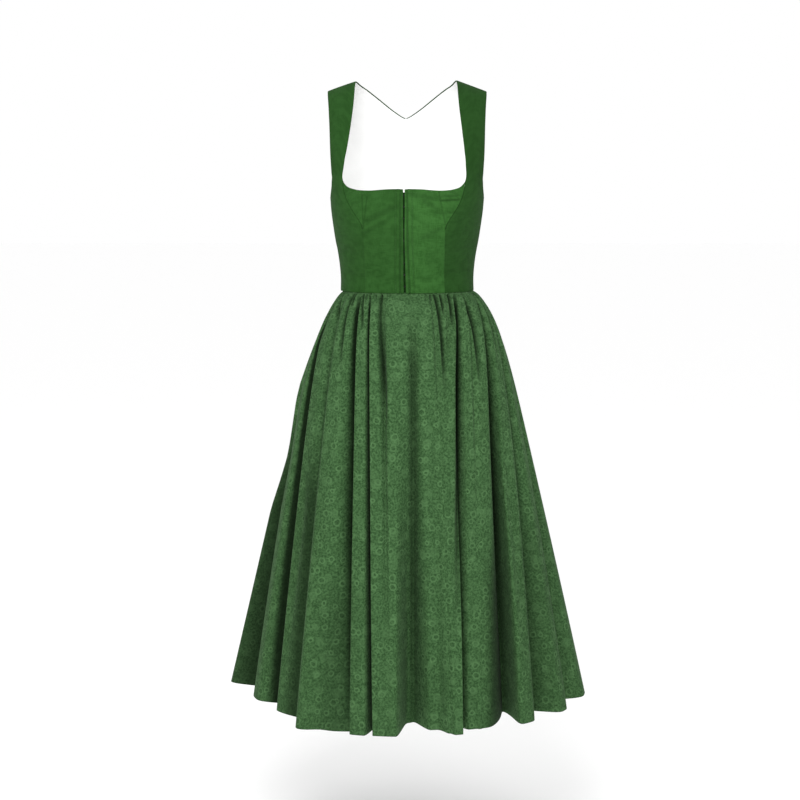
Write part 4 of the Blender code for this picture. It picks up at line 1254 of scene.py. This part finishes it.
class DIRNDL_OT_skirt(bpy.types.Operator):
    """Builds the gathered skirt's front and back with their folds, small gathers and hem"""

    bl_idname = "dirndl.skirt"
    bl_label = "Gathered Skirt"

    def execute(self, context):
        look = context.scene.dirndl_look
        heights = SKIRT_TOP - SKIRT_LENGTH * np.linspace(1, 0, SKIRT_ROWS + 1) ** ROW_POWER
        heights = np.insert(heights, 1, SKIRT_TOP - SKIRT_LENGTH + np.array(HEM_STEPS))
        heights = np.sort(heights)
        for name, first, end in (("front", 0, LEFT_SEAM_FOLD), ("back", LEFT_SEAM_FOLD, len(FOLDS))):
            columns, crests = self.columns(first, end)
            points, shade = self.sewn_in(*skirt_point(columns[None], heights[:, None]))
            quads = grid_quads(*points.shape[:2], False)
            uv = self.cloth_coordinates(points, crests, quads)
            # Painted shade along the hem's edge and deep in the folds
            dark = HEM_PAINTED_SHADE * bell(SKIRT_TOP - points[..., 2] - SKIRT_LENGTH, HEM_LINE)
            dark = np.maximum(dark, look.fold_shade * shade)
            label = f"skirt_{name}_print"
            piece = sheet_mesh(label, points, uv, dark, quads, "dirndl_print", look.print_thickness)
            placed(piece, "print", f"skirt_{name}")
        return {"FINISHED"}

    def sewn_in(self, points, shade):
        """The skirt with the strip that goes up behind the bodice's lower edge in the waist seam."""
        top = points[-1:].copy()
        top[..., :2] *= 1 - SEAM_TUCK_IN / np.linalg.norm(top[..., :2], axis=-1, keepdims=True)
        top[..., 2] += SEAM_TUCK_UP
        return np.concatenate([points, top]), np.concatenate([shade, shade[-1:]])

    def columns(self, first, end):
        """The places of a piece's columns, closer together in the valleys, and the crest by their quads."""
        waists = [row[1] for row in FOLDS] + [FOLDS[0][1] + 360]
        places, crests = [], []
        for fold in range(first, end):
            steps = FOLD_STEPS + round((waists[fold + 1] - waists[fold]) / COLUMN_TURN / 2)
            half = np.linspace(0, 1, steps + 1) ** VALLEY_POWER / 2
            crests += [len(places) + steps] * (2 * steps)
            places += [*(fold + half), *(fold + 1 - half[-2:0:-1])]
        return np.array([*places, end]), np.array(crests)

    def cloth_coordinates(self, points, crests, quads):
        """Cloth coordinates by corner, straight down each crest, with their break hidden in the valleys."""
        across, down = lengths_along(points, 1), lengths_along(points[::-1], 0)[::-1]
        middle = crests[quads[:, :1] % points.shape[1]]
        rows = quads // points.shape[1]
        out = across[rows, quads % points.shape[1]] - across[rows, middle] + across[0, middle]
        return np.stack([out, down[rows, middle]], axis=-1).reshape(len(quads), -1)


class DIRNDL_OT_sewing(bpy.types.Operator):
    """Sews the topstitching beside the closure and under the front neckline"""

    bl_idname = "dirndl.sewing"
    bl_label = "Topstitching"

    def execute(self, context):
        look = context.scene.dirndl_look
        points, faces, count = [], [], 0
        for line, normals in SEWING.values():
            found, quads = self.stitches(line, normals, look)
            points.append(found)
            faces.append(quads + count)
            count += len(found)
        mesh = bpy.data.meshes.new("topstitching")
        mesh.from_pydata(np.concatenate(points), [], np.concatenate(faces))
        mesh.shade_smooth()
        mesh.materials.append(material("dirndl_thread"))
        piece = bpy.data.objects.new("topstitching", mesh)
        context.scene.collection.objects.link(piece)
        placed(piece, "linen")
        return {"FINISHED"}

    def stitches(self, line, normals, look):
        """Points and faces of the stitches along a line, each a small spindle half in the cloth."""
        along_it = lengths_along(line)
        middles = np.arange(look.stitch_pitch, along_it[-1] - look.stitch_pitch, look.stitch_pitch)

        def read(values, at):
            return np.stack([np.interp(at, along_it, values[:, axis]) for axis in range(3)], axis=1)

        start = read(line, middles - look.stitch_length / 2)
        end = read(line, middles + look.stitch_length / 2)
        up = read(normals, middles)
        up /= np.linalg.norm(up, axis=1, keepdims=True)
        side = np.cross(end - start, up)
        side /= np.linalg.norm(side, axis=1, keepdims=True)
        turns = np.arange(STITCH_SIDES) * 2 * math.pi / STITCH_SIDES
        rings = []
        for share, width, lift in STITCH_RINGS:
            middle = start + (end - start) * share + up * look.thread_radius * lift
            round_it = np.cos(turns)[:, None, None] * side + np.sin(turns)[:, None, None] * up
            rings.append((middle + look.thread_radius * width * round_it).transpose(1, 0, 2))
        each = len(STITCH_RINGS) * STITCH_SIDES
        number = np.arange(each).reshape(len(STITCH_RINGS), STITCH_SIDES)
        around = np.roll(number, -1, axis=1)
        quads = np.stack([number[:-1], around[:-1], around[1:], number[1:]], axis=-1).reshape(-1, 4)
        quads = (np.arange(len(middles))[:, None, None] * each + quads).reshape(-1, 4)
        return np.stack(rings, axis=1).reshape(-1, 3), quads


# A hook and its eye, as shares of the hook's width and of its wire
HOOKS_ABOVE_WAIST = 0.012
RING_RADIUS = 0.40
RING_OFFSET = 0.45
RING_FLATNESS = 0.8
HOOK_STRETCH = 1.35
BAR_LENGTH = 1.5
BAR_RADIUS = 1.3
BAR_BEVEL = 0.5


def selected(*pieces):
    """Selects only these pieces, the last one active."""
    bpy.ops.object.select_all(action="DESELECT")
    for piece in pieces:
        piece.select_set(True)
        bpy.context.view_layer.objects.active = piece


class DIRNDL_OT_hooks(bpy.types.Operator):
    """Models one hook in its eye and sets a row of them into the closure"""

    bl_idname = "dirndl.hooks"
    bl_label = "Hooks and Eyes"

    def execute(self, context):
        look = context.scene.dirndl_look
        pair = self.hook_and_eye(look)
        heights = np.linspace(look.hook_top, WAIST_HEIGHT + HOOKS_ABOVE_WAIST, look.hook_count)
        middle = section(np.array(0.0))["shift"]
        copies = []
        for height in heights:
            station = station_of(middle, np.array(height))
            turn = turn_of(section(station)["shift"], station, False)
            spot = bodice_point(turn, station) - outward(bodice_point, turn, station) * look.hook_depth
            copy = pair.copy()
            copy.data = pair.data.copy()
            context.scene.collection.objects.link(copy)
            copy.location = spot
            copies.append(copy)
        bpy.data.objects.remove(pair)
        selected(*copies[::-1])
        bpy.ops.object.join()
        piece = context.view_layer.objects.active
        bpy.ops.object.transform_apply(location=True, rotation=True, scale=True)
        piece.name = piece.data.name = "hooks_and_eyes"
        piece.data.materials.append(material("dirndl_hook_metal"))
        placed(piece, "linen")
        return {"FINISHED"}

    def hook_and_eye(self, look):
        """One hook through one eye across the closure, as flattened wire rings with a bar between them."""
        rings = []
        for side, stretch in ((-1, HOOK_STRETCH), (1, 1.0)):
            selected()
            bpy.ops.mesh.primitive_torus_add(
                major_radius=look.hook_width * RING_RADIUS, minor_radius=look.hook_wire, major_segments=20,
                minor_segments=8, location=(side * look.hook_width * RING_OFFSET, 0, 0),
                rotation=(math.pi / 2, 0, 0),
            )
            rings.append(bpy.context.object)
            rings[-1].scale = (stretch, RING_FLATNESS, 1.0)
        bpy.ops.mesh.primitive_cylinder_add(
            vertices=10, radius=look.hook_wire * BAR_RADIUS, depth=look.hook_width * BAR_LENGTH,
            rotation=(0, math.pi / 2, 0),
        )
        bar = bpy.context.object
        bpy.ops.object.mode_set(mode="EDIT")
        bpy.ops.mesh.select_all(action="SELECT")
        bpy.ops.mesh.bevel(offset=look.hook_wire * BAR_BEVEL, segments=2)
        bpy.ops.object.mode_set(mode="OBJECT")
        selected(*rings, bar)
        bpy.ops.object.join()
        bpy.ops.object.transform_apply(location=True, rotation=True, scale=True)
        bar.data.shade_smooth()
        return bar


# The studio's lights: name, place, size across in metres and power in watts, with the point that they face
STUDIO_LIGHTS = (
    ("key", (-0.32, -1.9, 0.60), 1.2, 38.0),
    ("fill", (1.7, -2.1, 0.9), 1.4, 11.0),
)
LIT_POINT = (0.0, 0.0, -0.22)
SENSOR_WIDTH = 36.0
FLOOR_SIZE = 60
FLOOR_COLOUR = (0.99, 0.99, 0.99, 1.0)
FLOOR_ROUGHNESS = 0.9


class DIRNDL_OT_stage(bpy.types.Operator):
    """Adds the pale floor, the soft studio light, the white surroundings and the camera"""

    bl_idname = "dirndl.stage"
    bl_label = "Stage"

    def execute(self, context):
        look = context.scene.dirndl_look
        self.camera(context, look)
        self.floor(context, look)
        world = bpy.data.worlds.new("studio")
        world.use_nodes = True
        shade = world.node_tree.nodes["Background"].inputs
        shade["Color"].default_value, shade["Strength"].default_value = (1, 1, 1, 1), look.ambient
        context.scene.world = world
        context.scene.view_settings.view_transform = "Standard"
        for name, place, size, power in STUDIO_LIGHTS:
            data = bpy.data.lights.new(name, "AREA")
            data.shape, data.size, data.energy = "DISK", size, power * look.light_scale
            lamp = bpy.data.objects.new(name, data)
            context.scene.collection.objects.link(lamp)
            lamp.location = place
            lamp.rotation_mode = "QUATERNION"
            toward = Vector(np.array(LIT_POINT) - np.array(place))
            lamp.rotation_quaternion = toward.to_track_quat("-Z", "Y")
        return {"FINISHED"}

    def camera(self, context, look):
        """The camera: level with the armholes, looking slightly down."""
        data = bpy.data.cameras.new("camera")
        data.sensor_width, data.lens = SENSOR_WIDTH, look.lens
        eye = bpy.data.objects.new("camera", data)
        context.scene.collection.objects.link(eye)
        eye.location = look.camera_place
        eye.rotation_euler = (math.pi / 2 - look.camera_dip, 0, 0)
        context.scene.camera = eye

    def floor(self, context, look):
        """A plain pale floor below the hem."""
        selected()
        low = CAD_BOUNDS[0][2] - look.floor_drop
        bpy.ops.mesh.primitive_plane_add(size=FLOOR_SIZE, location=(0, 0, low))
        ground = context.object
        ground.name = "floor"
        made, _, shader = new_material("pale_floor")
        shader.inputs["Base Color"].default_value = FLOOR_COLOUR
        shader.inputs["Roughness"].default_value = FLOOR_ROUGHNESS
        ground.data.materials.append(made)


def colour(name, description, *default):
    """A setting that is a colour."""
    return bpy.props.FloatVectorProperty(
        name=name, description=description, default=default, subtype="COLOR"
    )


def length(name, description, default):
    """A setting in metres."""
    return bpy.props.FloatProperty(name=name, description=description, default=default, unit="LENGTH")


def part_of_one(name, description, default):
    """A setting from 0 to 1."""
    return bpy.props.FloatProperty(name=name, description=description, default=default, min=0, max=1)


class DirndlLook(bpy.types.PropertyGroup):
    """The sizes and colours of the dress's looks that a user would change"""

    linen_color: colour("Linen", "Colour of the bodice's linen", 0.0215, 0.0790, 0.0145)
    print_ground: colour("Print Ground", "Ground colour of the skirt's print", 0.0252, 0.0655, 0.0215)
    print_light: colour("Print Light", "Colour of the rings and flowers", 0.0610, 0.1320, 0.0510)
    lining_color: colour("Lining", "Colour of the white lining", 0.82, 0.82, 0.815)
    # The hooks' colour is near black: partly lacquer, partly painted shade of the closure's gap
    metal_color: colour("Hooks", "Colour of the hooks' nickel", 0.035, 0.035, 0.034)
    linen_pitch: length("Linen Pitch", "Spacing of the linen's threads", 0.0009)
    cotton_pitch: length("Cotton Pitch", "Spacing of the cotton's threads", 0.0006)
    linen_thickness: length("Linen Thickness", "Thickness of the bodice's shell", 0.0008)
    print_thickness: length("Print Thickness", "Thickness of the skirt's cloth", 0.0007)
    lining_thickness: length("Lining Thickness", "Thickness of the lining", 0.0005)
    lining_depth: length("Lining Depth", "How far the lining lies under the shell's outside", 0.0014)
    underlap_depth: length("Underlap Depth", "How far the strip behind the closure lies in", 0.0052)
    # Painted shade on the strip behind the closure
    underlap_shade: part_of_one("Underlap Shade", "How dark the strip behind the closure is", 0.9)
    # Painted shade on the upper front straps
    strap_shade: part_of_one("Strap Tone", "How much darker the front straps are", 0.12)
    back_tone: part_of_one("Back Tone", "How much darker the back's cloth is", 0.25)
    free_roll: length("Free Roll", "How far a folded edge turns in", 0.0011)
    free_roll_width: length("Free Roll Width", "Width of a folded edge's curve", 0.0022)
    seam_roll: length("Seam Roll", "How deep a sewn seam pulls in", 0.0009)
    seam_roll_width: length("Seam Roll Width", "Width of a seam's groove on one side", 0.0022)
    topstitch: length("Topstitch", "Distance of the topstitching from its edge", 0.0066)
    facing_width: length("Facing Width", "Distance of the closure's second row of stitches", 0.0150)
    stitch_pitch: length("Stitch Pitch", "Spacing of the stitches", 0.0030)
    stitch_length: length("Stitch Length", "Length of a stitch", 0.0023)
    thread_radius: length("Thread Radius", "Radius of the sewing thread", 0.00024)
    # Painted shade deep in the skirt's folds
    fold_shade: part_of_one("Fold Shade", "How dark the skirt's deep folds get", 0.92)
    skirt_width: length("Skirt Width", "Width of one of the skirt's two cut widths", 1.45)
    skirt_cut: length("Skirt Cut", "Length of the skirt's cut without its hem", 0.76)
    hook_count: bpy.props.IntProperty(name="Hooks", description="Number of hooks in the closure", default=9)
    hook_top: length("Hook Top", "Height of the top hook", -0.2000)
    hook_width: length("Hook Width", "Width of one hook across the closure", 0.0050)
    hook_wire: length("Hook Wire", "Radius of the hooks' wire", 0.00038)
    hook_depth: length("Hook Depth", "How far the hooks lie in", 0.0040)
    lens: bpy.props.FloatProperty(name="Lens", description="The camera's focal length in mm", default=82.5)
    camera_place: bpy.props.FloatVectorProperty(
        name="Camera", description="Where the camera stands", default=(-0.0128, -3.2980, -0.1660),
        unit="LENGTH",
    )
    camera_dip: bpy.props.FloatProperty(
        name="Camera Dip", description="How far the camera looks down", default=math.radians(7),
        unit="ROTATION",
    )
    floor_drop: length("Floor Drop", "How far the floor lies below the hem", 0.30)
    ambient: bpy.props.FloatProperty(
        name="Ambient", description="Strength of the light all round", default=1.0
    )
    light_scale: bpy.props.FloatProperty(
        name="Light", description="Strength of the studio lights", default=1.0
    )


class DIRNDL_PT_sidebar(bpy.types.Panel):
    """Lists the steps that build the dress and its settings"""

    bl_idname = "DIRNDL_PT_sidebar"
    bl_label = "Dirndl Dress"
    bl_space_type = "VIEW_3D"
    bl_region_type = "UI"
    bl_category = "Dirndl"

    def draw(self, context):
        for step in STEPS:
            self.layout.operator(step.bl_idname)
        for name in DirndlLook.__annotations__:
            self.layout.prop(context.scene.dirndl_look, name)


STEPS = (
    DIRNDL_OT_fronts,
    DIRNDL_OT_back,
    DIRNDL_OT_skirt,
    DIRNDL_OT_sewing,
    DIRNDL_OT_hooks,
    DIRNDL_OT_stage,
)
CLASSES = (DirndlLook, *STEPS, DIRNDL_PT_sidebar)


def register():
    for kind in CLASSES:
        bpy.utils.register_class(kind)
    bpy.types.Scene.dirndl_look = bpy.props.PointerProperty(type=DirndlLook)


def unregister():
    del bpy.types.Scene.dirndl_look
    for kind in reversed(CLASSES):
        bpy.utils.unregister_class(kind)


def main():
    register()
    bpy.ops.dirndl.fronts()
    bpy.ops.dirndl.back()
    bpy.ops.dirndl.skirt()
    bpy.ops.dirndl.sewing()
    bpy.ops.dirndl.hooks()
    bpy.ops.dirndl.stage()


if __name__ == "__main__":
    main()
